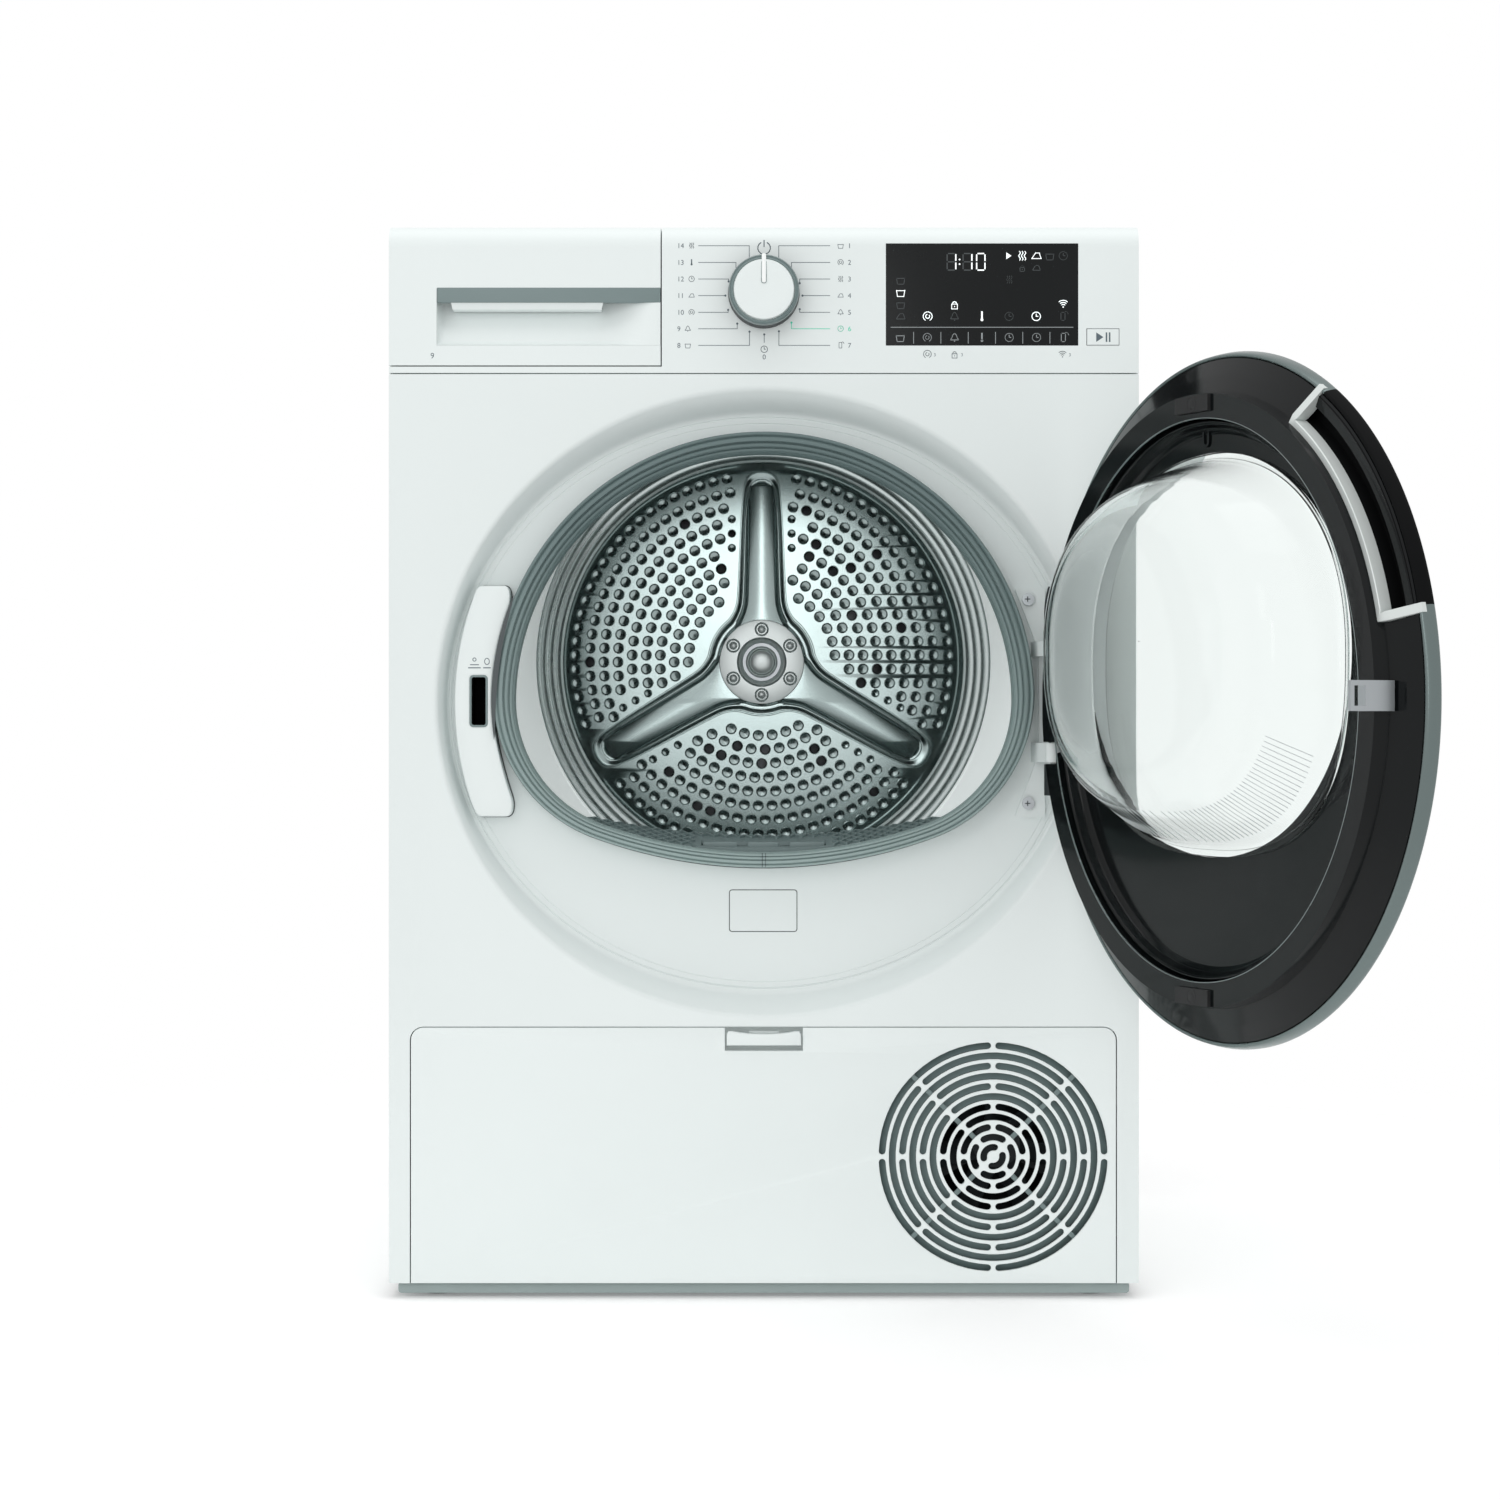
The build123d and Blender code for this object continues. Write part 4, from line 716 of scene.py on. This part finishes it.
def make_drawer_grip():
    """The scooped grip under a grey bar, running out flush at its right-hand end."""
    scoop = Shape("tank_drawer")
    x0, x1, z0, z1, back = -260.3, -82.3, 759.0, 804.4, 19.6

    def ease(share):
        share = min(1.0, max(0.0, share))
        return share * share * (3 - 2 * share)

    def round_in(run, radius):
        """How far a quarter round has come after a run from its start."""
        return sqrt(1 - (1 - min(1, run / radius)) ** 2)

    columns = [x0 + w for w in (0, 0.3, 0.8, 1.6, 2.6, 3.8, 5.0, 6.5)]
    columns += [x0 + 8 + (x1 - x0 - 8) * k / 60 for k in range(61)]
    heights = [z0 + w for w in (0, 0.3, 0.9, 1.7, 2.7, 4.0)]
    heights += [z0 + 5 + (z1 - z0 - 5) * k / 24 for k in range(25)]
    loops = []
    for z in heights:
        rise = sin(pi / 2 * min(1, (z - z0) / (z1 - z0) * 1.25)) ** 1.6
        depth = 18.5 * (0.30 * round_in(z - z0, 4.0) + 0.70 * rise)
        shares = [round_in(x - x0, 5.0) * (1 - ease((x + 132) / 46)) for x in columns]
        loops.append([(x, 0.05 + depth * share, z) for x, share in zip(columns, shares)])
    scoop.loft(loops, closed=False)
    scoop.loft([[(x, back, z) for x, _, z in row] for row in loops], closed=False)
    border = loops[0] + [row[-1] for row in loops[1:]]
    border += loops[-1][-2::-1] + [row[0] for row in loops[-2:0:-1]]
    scoop.loft([border, [(x, back, z) for x, _, z in border]])
    scoop.make("drawer_scoop", "white_plastic", sharp=50)
    bar = Shape("tank_drawer")
    bar.plate([box_outline(-260.1, -82.3, 793.0, 804.9, 0.5, 3)], -0.25, 5.5, 0.35)
    bar.make("drawer_grip_bar", "grey_plastic")
    lip = Shape("tank_drawer")
    front = [(-249.2, -127.8, 793.2, 1.2), (-248.0, -129.2, 787.9, 3.0), (-247.6, -129.6, 787.4, 4.2),
             (-247.8, -129.4, 787.4, 16.0)]
    top = [front[0], (-247.8, -129.4, 793.2, 16.0), front[3]]
    for rows in (front, top):
        lip.loft([[(a, d, z), (b, d, z)] for a, b, z, d in rows], closed=False)
    for side in (0, 1):
        lip.add([(row[side], row[3], row[2]) for row in front + top[1:2]], [(0, 1, 2, 3, 4)])
    lip.make("drawer_grip_lip", "white_plastic")


def make_flap_details():
    """The latch with its scooped upper edge, and the bars crossing behind the round grille."""
    latch = Shape("flap_latch")
    low = [(-29.5, 201.9), (29.5, 201.9), (29.5, 210.6), (28.2, 213.1), (24.5, 213.1)]
    sag = [(24.5 - 49 * k / 16, 213.1 - 2.2 * sin(pi * k / 16) ** 0.7) for k in range(1, 16)]
    latch.plate([low + sag + [(-24.5, 213.1), (-28.2, 213.1), (-29.5, 210.6)]], -3.0, 5.0, 0.9)
    latch.plate([box_outline(-12, 12, 202, 213)], 5.0, 9.0)
    latch.make("flap_latch_handle", "white_plastic", replaces="flap_latch", sharp=45)
    bars = Shape("flap")
    for turn in (45, 135, 225, 315):
        bar = turned(box_outline(13, 92, -2.0, 2.0), turn)
        bars.plate([[(GRILLE_X + x, GRILLE_Z + z) for x, z in bar]], 3.0, 5.0, 0.6)
    bars.turn([(93.8, 2.6), (93.8, 9.5), (92.2, 9.5), (92.2, 2.6)], GRILLE_X, GRILLE_Z, wrap=True)
    # sloping vanes behind the outer slots let the air through and hide the works
    for ring in range(6):
        r = 88.5 - 8.1 * ring
        vane = [(r + 3.6, 9.7), (r + 3.6, 10.4), (r - 2.7, 5.8), (r - 2.7, 5.1)]
        bars.turn(vane, GRILLE_X, GRILLE_Z, wrap=True)
    bars.make("grille_bars", "grey_plastic")


def curved_slot(r, half, start, stop):
    """A slot with round ends, its centre line on radius r of the grille."""
    line = []
    for radius, a, b, end in ((r + half, start, stop, stop), (r - half, stop, start, start)):
        line += [polar(radius, radians(a + (b - a) * k / 17)) for k in range(18)]
        x, z = polar(r, radians(end))
        first = end if end == stop else end + 180
        for k in range(1, 6):
            u, v = polar(half, radians(first + 30 * k))
            line.append((x + u, z + v))
    return [(GRILLE_X + x, GRILLE_Z + z) for x, z in line]


def make_flap():
    """The service flap with its round grille; every other ring is bridged on the diagonals."""
    flap = Shape("flap")
    corners = box_outline(-281.0, 280.3, 0, 215.9, 10, 8)
    right, left = corners[:8], corners[8:16]
    notch = [(31, 215.9), (31, 197.5), (-31, 197.5), (-31, 215.9)]
    outline = [(280.3, 12.4)] + right + notch + left + [(-281.0, 12.4)]
    slots = []
    for ring in range(11):
        r = 88.5 - 8.1 * ring
        trim = degrees(asin(4.4 / r))
        first, span = (45 * (ring % 2), 90) if ring < 10 else (45, 180)
        slots += [curved_slot(r, 2.7, a + trim, a + span - trim) for a in range(first, first + 360, span)]
    flap.plate([outline] + slots, 0.0, 2.5, 0.55)
    for side in (-1, 1):
        wall = [(277, 30), (277, 211.9), (31, 211.9), (31, 209.4), (274.5, 209.4), (274.5, 30)]
        flap.plate([[(x * side - 0.35, z) for x, z in wall]], 2.4, 9.0)
    for x in (-265.0, 252.3):
        flap.plate([box_outline(x, x + 12, 14, 21, 1.5)], 2.4, 8.0)
    flap.make("service_flap_skin", "white_plastic", replaces="service_flap", sharp=40)
    strip = Shape()
    strip.plate([box_outline(-292, 292, 3.0, 11.6, 2.5)], 9.0, 12.0, 1.0)
    strip.make("base_front_strip", "pale_grey", "grey_plastic")


make_front_panel()
make_gasket()
make_latch_cover()
make_sill()
make_filter_handle()
make_dial_print()
make_display()
make_knob()
make_drawer_grip()
make_flap_details()
make_flap()
make_hinge_screws()

# --- door ---
GRIP = (121.0, 166.0)            # the finger pocket's place on the free edge, from the hinge side


def window_point(a, b, up, d, angle):
    """A point of an egg-shaped loop: round above, fuller and flatter below."""
    c, s = cos(angle), sin(angle)
    power = 2 / (2.15 if s > 0 else 2.7)
    return a * copysign(abs(c) ** power, c), d, up + b * copysign(abs(s) ** power, s)


def window_loop(a, b, up, d, n=160):
    return [window_point(a, b, up, d, 2 * pi * k / n) for k in range(n)]


def arc_loop(r, d, ends, n):
    """Points round the door's middle from the first to the last of two angles."""
    start, stop = ends
    angles = [radians(start + (stop - start) * k / (n - 1)) for k in range(n)]
    return [(r * cos(w), d, r * sin(w)) for w in angles]


def make_door_rim():
    """The silver ring round the door, black where the finger pocket opens through it."""
    rim = Shape("door")
    profile = [(245.9, -26.2), (245.9, -30), (249.6, -30), (251.4, -29.6), (252.6, -28.8), (253.3, -27.4),
               (253.3, -25.6), (252.6, -22.6), (251.6, -19.2), (250.6, -18.1), (249.2, -18.0),
               (248.4, -18.8), (248.6, -22), (249.2, -25.4)]
    stops = [GRIP[0] + 1.2, GRIP[1] - 0.2]
    for slot, ends, n in ((0, (stops[1] - 360, stops[0]), 200), (1, stops, 40)):
        rim.loft([arc_loop(r, d, ends, n) for r, d in profile], slot, closed=False, wrap=True)
    rim.make("door_trim_ring", ["rim_silver", "pocket_black"], "silver_plastic", "door_rim", sharp=50)


def make_grip_trim():
    """The silver line round the finger pocket, and the pocket's black liner."""
    (a0, a1), inner, outer = GRIP, 224.2, 252.4
    spots = [(outer - (outer - inner) * k / 6, a0 - 0.2) for k in range(7)]
    spots += [(inner, a0 - 0.2 + (a1 - a0 + 0.4) * k / 40) for k in range(1, 40)]
    spots += [(inner + (outer - inner) * k / 6, a1 + 0.2) for k in range(7)]
    path = [Vector(polar(r, radians(w))) for r, w in spots]
    strip = Shape("door")
    loops = []
    for k, here in enumerate(path):
        along = (path[min(len(path) - 1, k + 1)] - path[max(0, k - 1)]).normalized()
        side = Vector((-along.y, along.x))
        top = -3.6 - max(0.0, here.length - 226) * 0.58
        row = []
        for across, lift in ((-3.3, -9), (-3.3, 0.0), (-2.8, 0.5), (2.8, 0.5), (3.3, 0.0), (3.3, -9)):
            p = here + side * across
            row.append((p.x, top + lift, p.y))
        loops.append(row)
    strip.loft(loops)
    for row in (loops[0], loops[-1]):
        strip.add(row, [range(6)])
    strip.make("door_grip_trim", "trim_silver", "silver_plastic", sharp=30)
    liner = Shape("door")
    section = [(245.8, -16.9), (245.8, -24.4), (226.2, -24.4), (226.2, -8.6), (225.6, -8.6), (225.6, -25.0),
               (246.2, -25.0), (246.2, -16.9)]
    liner.loft([arc_loop(r, d, (a0 - 1, a1 + 1), 60) for r, d in section], closed=False, wrap=True)
    liner.make("door_grip_liner", "pocket_black", "dark_plastic")


def make_door_glass():
    """The black mask and the clear bowl, with a pale band inside it and fine ribs at its foot."""
    mask = Shape("door")
    mask.plate([ellipse(245.4, 245.4, 200), face_on(window_loop(171, 146, 33, 0))], -25.9, -25.3)
    mask.make("door_mask", "black_gloss")
    bowl = Shape("door")
    outside = [(173.6, 146.0, 33.0, -11.6), (173.6, 146.0, 33.0, -9.6), (170.8, 143.4, 33.2, -9.2),
               (168.6, 141.2, 33.6, -7.8), (167.4, 139.6, 34.0, -5), (163.4, 133.6, 35.4, 8),
               (158.6, 126.4, 37.4, 24), (154.6, 120.2, 39.2, 34), (151.2, 115.6, 40.2, 40),
               (146.6, 110.0, 41.2, 45), (139.0, 102.0, 42.0, 48.4), (128, 92, 42.4, 49.8),
               (110, 78, 42.4, 50)]
    inside = [(a - 3.0, b - 3.0, up, d - 2.9) for a, b, up, d in outside[2:]]
    middle = [(60, 42, 42.4, 50), (0.4, 0.3, 42.4, 50), (0.4, 0.3, 42.4, 47.1), (60, 42, 42.4, 47.1)]
    rings = outside + middle + inside[::-1] + [(168.6, 141.0, 33.2, -11.6)]
    bowl.loft([window_loop(*ring) for ring in rings], wrap=True)
    bowl.make("door_bowl_glass", "clear_glass", replaces="door_bowl", sharp=60)
    band = Shape("door")
    strip = []
    sleeve = [(170.7, 145.5, 33, -25.2), (170.7, 145.5, 33, -12.8), (168.4, 140.9, 33.3, -11.5)]
    for a, b, up, d in sleeve + inside[1:-2]:
        ring = window_loop(a - 0.5, b - 0.5, up, d)
        strip.append(ring[-24:] + ring[:40])
    band.loft(strip, closed=False)
    band.make("door_bowl_band", "glass_band", "clear_glass", sharp=60)
    ribs = Shape("door")
    near, far = (165.0, 136.2, 34.8, 4.0), (153.6, 119.2, 39.6, 36.0)
    for k in range(64):
        w = radians(206 + 128 * k / 63)
        rows = []
        for side, lift in ((-0.35, 0.05), (0.0, 0.7), (0.35, 0.05)):
            row = []
            for share in (0.0, 0.25, 0.5, 0.75, 1.0):
                a, b, up, d = (p + (q - p) * share for p, q in zip(near, far))
                row.append(window_point(a + lift, b + lift, up, d, w + side / 150))
            rows.append(row)
        ribs.loft(rows, closed=False)
    ribs.make("door_bowl_ribs", "frosted", "clear_glass")


def make_door_lines():
    """The ring's bright joint and black moulding, the bumpers' pins and the port above the window."""
    joint = Shape("door")
    joint.turn([(204.6, 2.2), (204.3, 3.15), (203.9, 3.2), (203.6, 2.2)], n=200, wrap=True)
    joint.make("door_ring_joint", "silver_plastic")
    moulding = Shape("door")
    moulding.turn([(202.6, -11.9), (202.6, -2.4), (201.8, -1.6), (200.6, -1.8), (199.4, -3.6), (198.2, -8),
                   (196.4, -10.6), (193, -11.9)], n=200)
    moulding.make("door_inner_moulding", "black_gloss", sharp=60)
    pins = Shape("door")
    for v in (214.5, -214.5):
        pins.turn([(0.05, 5.85), (2.8, 5.85), (3.4, 5.7), (3.6, 5.3)], 0, v, 24)
        pins.turn([(4.8, 5.4), (5.2, 5.8), (6.0, 5.8), (6.4, 5.4)], 0, v, 24)
    pins.make("door_bumper_pins", "black_rubber")
    port = Shape("door")
    port.plate([box_outline(1.5, 10.5, 184.4, 199.4, 4.4, 8), box_outline(3.6, 8.4, 186.5, 197.3, 2.3, 8)],
               -10.7, -12.2)
    port.make("door_vent_port", "black_gloss")


make_door_rim()
make_grip_trim()
make_door_glass()
make_door_lines()

# --- drum ---
SHEET_S, FLOOR_S = 366.0, 370.3        # the perforated sheet, and the floor of the three channels


def spider_outline(t):
    """Three arms and a hub; t runs from the outer edge of the pressed border (0) to the floor (1)."""
    def mix(a, b):
        return a + (b - a) * t

    hub, near, far, end = mix(51, 37), mix(22.7, 11.6), mix(18.6, 10.4), mix(181, 166)
    side = [(hub * sin(radians(w)), hub * cos(radians(w))) for w in (60, 52, 44, 36)]
    side += [(near + 1.5, 52 - 3 * t), (near, 66), (far, end - 17), (mix(11, 7), end - 1.5)]
    if t > 0.8:
        side[-2:] = [(far, end - 2), (far - 1, end)]
    arm = side + [(-u, v) for u, v in reversed(side[1:])]
    return rounded([p for turn in (0, 120, 240) for p in turned(arm, turn)], 3)


def hole_places():
    """The perforations as (x, z, radius): on rings, in each of the three fields, and beside the arms."""
    arms, edge = (90, 210, 330), spider_outline(0.0)
    beside = []                        # three smaller holes down each side of every arm
    for arm in arms:
        beside += turned([(along, side) for along in (134, 120.5, 107) for side in (-28, 28)], arm)
    holes = []
    for ring in range(10):
        r = 174.5 - 13.2 * ring
        count = round(2 * pi * r / 13.1)
        for k in range(count):
            x, z = polar(r, 2 * pi * (k + 0.5) / count)
            along, across = max(turned([(x, z)], -arm)[0] for arm in arms)
            on_arm = 0 < along < 178 and abs(across) < 23
            gap = min(hypot(x - p, z - q) for p, q in edge)
            small = min(hypot(x - p, z - q) for p, q in beside)
            if gap > 6.4 and small > 8.6 and not on_arm and r > 56:
                holes.append((x, z, 4.2))
    return holes + [(x, z, 2.9) for x, z in beside]


def make_drum_wall():
    """The perforated sheet with its three pressed arms, the lips of its holes, and the riveted hub."""
    wall = Shape("drum")
    border = [(0.0, 0.0), (0.05, 0.9), (0.10, 0.9), (0.15, 0.1), (0.24, 0.2), (0.44, 1.8), (0.52, 2.0),
              (0.60, 1.7), (0.70, 2.2), (0.90, 4.0), (0.94, 4.5), (1.0, FLOOR_S - SHEET_S)]
    wall.loft([[(x, SHEET_S + sink, z) for x, z in spider_outline(t)] for t, sink in border])
    wall.fill([spider_outline(1.0), ellipse(39, 39, 72)], FLOOR_S)
    # the rim of the wall falls back to the drum's own edge
    rim = [(183.6, SHEET_S), (186, SHEET_S + 1), (203, 382.6), (206, 384), (283.9, 384), (283.9, 385.5),
           (205, 385.5), (183, SHEET_S + 1.2)]
    wall.turn(rim, n=160)
    holes = hole_places()
    outlines = [ellipse(hole, hole, 14, x, z) for x, z, hole in holes]
    wall.fill([ellipse(183.6, 183.6, 160), spider_outline(0.0)] + outlines, SHEET_S)
    wall.make("drum_wall", "drum_wall_steel", "drum_steel", replaces="drum_back")
    # a lip sinks into each hole; most end in a bright floor, and a few stay open
    random.seed(7)
    lips = Shape("drum")
    for x, z, hole in holes:
        blind = random.random() > (0.10 if 90 < hypot(x, z) < 150 else 0.02)
        lip = ((1.1, 0.02), (0.85, -0.55), (0.3, -0.75), (-0.1, -0.2), (-0.2, 2.6))
        profile = [(hole + out, SHEET_S + sink) for out, sink in lip]
        lips.turn(profile + ([(0.3, SHEET_S + 3.2)] if blind else []), x, z, n=14)
    lips.make("drum_wall_holes", "drum_wall_steel", "drum_steel")
    hub = Shape("drum")
    hub.turn([(39.5, 370.6), (40, 370.2), (39.7, 369.6), (38.8, 369.4), (23.4, 369.4), (22.6, 368.6),
              (21.6, 367.6), (20.6, 367.9), (19.2, 370), (16.4, 373), (15, 372), (14.2, 368.6),
              (13.4, 367.8), (12.5, 368.4), (12.0, 370), (11.5, 368), (10.6, 366.6), (8, 365.7),
              (4, 365.3), (0.05, 365.2)], n=72)
    for k in range(6):
        x, z = polar(30.8, radians(30 + 60 * k))
        hub.turn([(6.7, 369.5), (6.5, 368.7), (5.9, 368.3), (5.2, 368.7), (4.6, 369.9), (4.1, 369.9),
                  (3.7, 368.9), (2.2, 368.2), (0.05, 368.0)], x, z, n=24)
    hub.make("drum_hub", "hub_satin", "drum_steel")


def make_drum_mouth():
    """The polished ring at the neck, with three rolled ridges, and the cone behind it."""
    ring = Shape("drum")
    face = [(187, -4.8), (187.6, -5.4), (186.6, -5.6)]
    for k in range(41):
        share = k / 40
        ridge = 0.7 * abs(sin(pi * 3 * share)) ** 1.5
        face.append((185.8 - 17.8 * share, -4.6 + 17.2 * share - ridge))
    face += [(166.9, 13.3), (166.1, 14.3), (166.6, 15.6), (170, 16.6), (284.8, 25.1), (284.8, 24.2),
             (172, 14.4), (187.2, -2.5)]
    ring.turn(face, n=192, wrap=True)
    ring.make("drum_mouth_ring", "polished", "drum_steel", replaces="drum_front_ring", sharp=50)


make_drum_wall()
make_drum_mouth()

# --- studio ---
def make_studio():
    """Camera, white backdrop, three lamps and a floor that takes the contact shadow."""
    scene = bpy.context.scene
    scene.view_settings.view_transform = "Standard"
    cam = bpy.data.cameras.new("camera")
    cam.lens, cam.sensor_width = 78.4, 36.0
    cam.shift_y = -0.0173
    cam.clip_start = 0.05
    camera = scene.camera = put("camera", cam)
    camera.location = (-0.011, FRONT * MM - 2.6, 0.4575)
    camera.rotation_euler = (radians(90), 0, 0)

    world = bpy.data.worlds.new("studio")
    world.use_nodes = True
    scene.world = world
    tree = world.node_tree
    glow = tree.nodes["Background"]
    set_inputs(glow, {"Color": (1, 1, 1, 1), "Strength": 0.86})
    # the camera sees a plain white backdrop, straight on and through the door's glass
    backdrop = add_node(tree, "Background", Color=(1, 1, 1, 1))
    path = add_node(tree, "LightPath")
    seen = add_node(tree, "Math")
    seen.operation = "MAXIMUM"
    pick = add_node(tree, "MixShader")
    join(tree, (path, "Is Camera Ray", seen, 0), (path, "Is Transmission Ray", seen, 1), (seen, 0, pick, 0),
         (glow, 0, pick, 1), (backdrop, 0, pick, 2), (pick, 0, tree.nodes["World Output"], "Surface"))

    def lamp(name, spot, aim, size, watts):
        light = bpy.data.lights.new(name, "AREA")
        light.shape = "RECTANGLE"
        light.size, light.size_y = size
        light.energy = watts
        holder = put(name, light)
        holder.location = spot
        holder.rotation_euler = (Vector(aim) - Vector(spot)).to_track_quat("-Z", "Y").to_euler()

    lamp("overhead", (0.0, -0.7, 3.0), (0.0, -0.1, 0.4), (2.6, 2.0), 16)
    lamp("front", (-1.4, -3.6, 2.0), (0.0, -0.3, 0.5), (1.6, 1.6), 12)
    lamp("behind", (0.0, -5.0, 0.88), (0.0, -0.3, 0.55), (0.5, 1.25), 6.5)

    mesh = bpy.data.meshes.new("floor")
    mesh.from_pydata([(-30, -30, 0), (30, -30, 0), (30, 30, 0), (-30, 30, 0)], [], [(0, 1, 2, 3)])
    floor = put("floor", mesh)
    pale = skin("studio_floor", [0.90, 0.90, 0.90, 1], 0.9, vary=0.004, bump=0.0,
                Emission_Color=(1, 1, 1, 1), Emission_Strength=0.2)
    mesh.materials.append(pale)
    # the floor fades out round the object, so that it meets the white backdrop without an edge
    tree = pale.node_tree
    place = add_node(tree, "TexCoord")
    reach = add_node(tree, "VectorMath")
    reach.operation = "LENGTH"
    fade = add_node(tree, "MapRange", From_Min=0.55, From_Max=1.5)
    fade.interpolation_type = "SMOOTHSTEP"
    clear = add_node(tree, "BsdfTransparent")
    blend = add_node(tree, "MixShader")
    join(tree, (place, "Object", reach, 0), (reach, "Value", fade, "Value"), (fade, 0, blend, 0),
         (tree.nodes["Principled BSDF"], 0, blend, 1), (clear, 0, blend, 2),
         (blend, 0, tree.nodes["Material Output"], "Surface"))


make_studio()
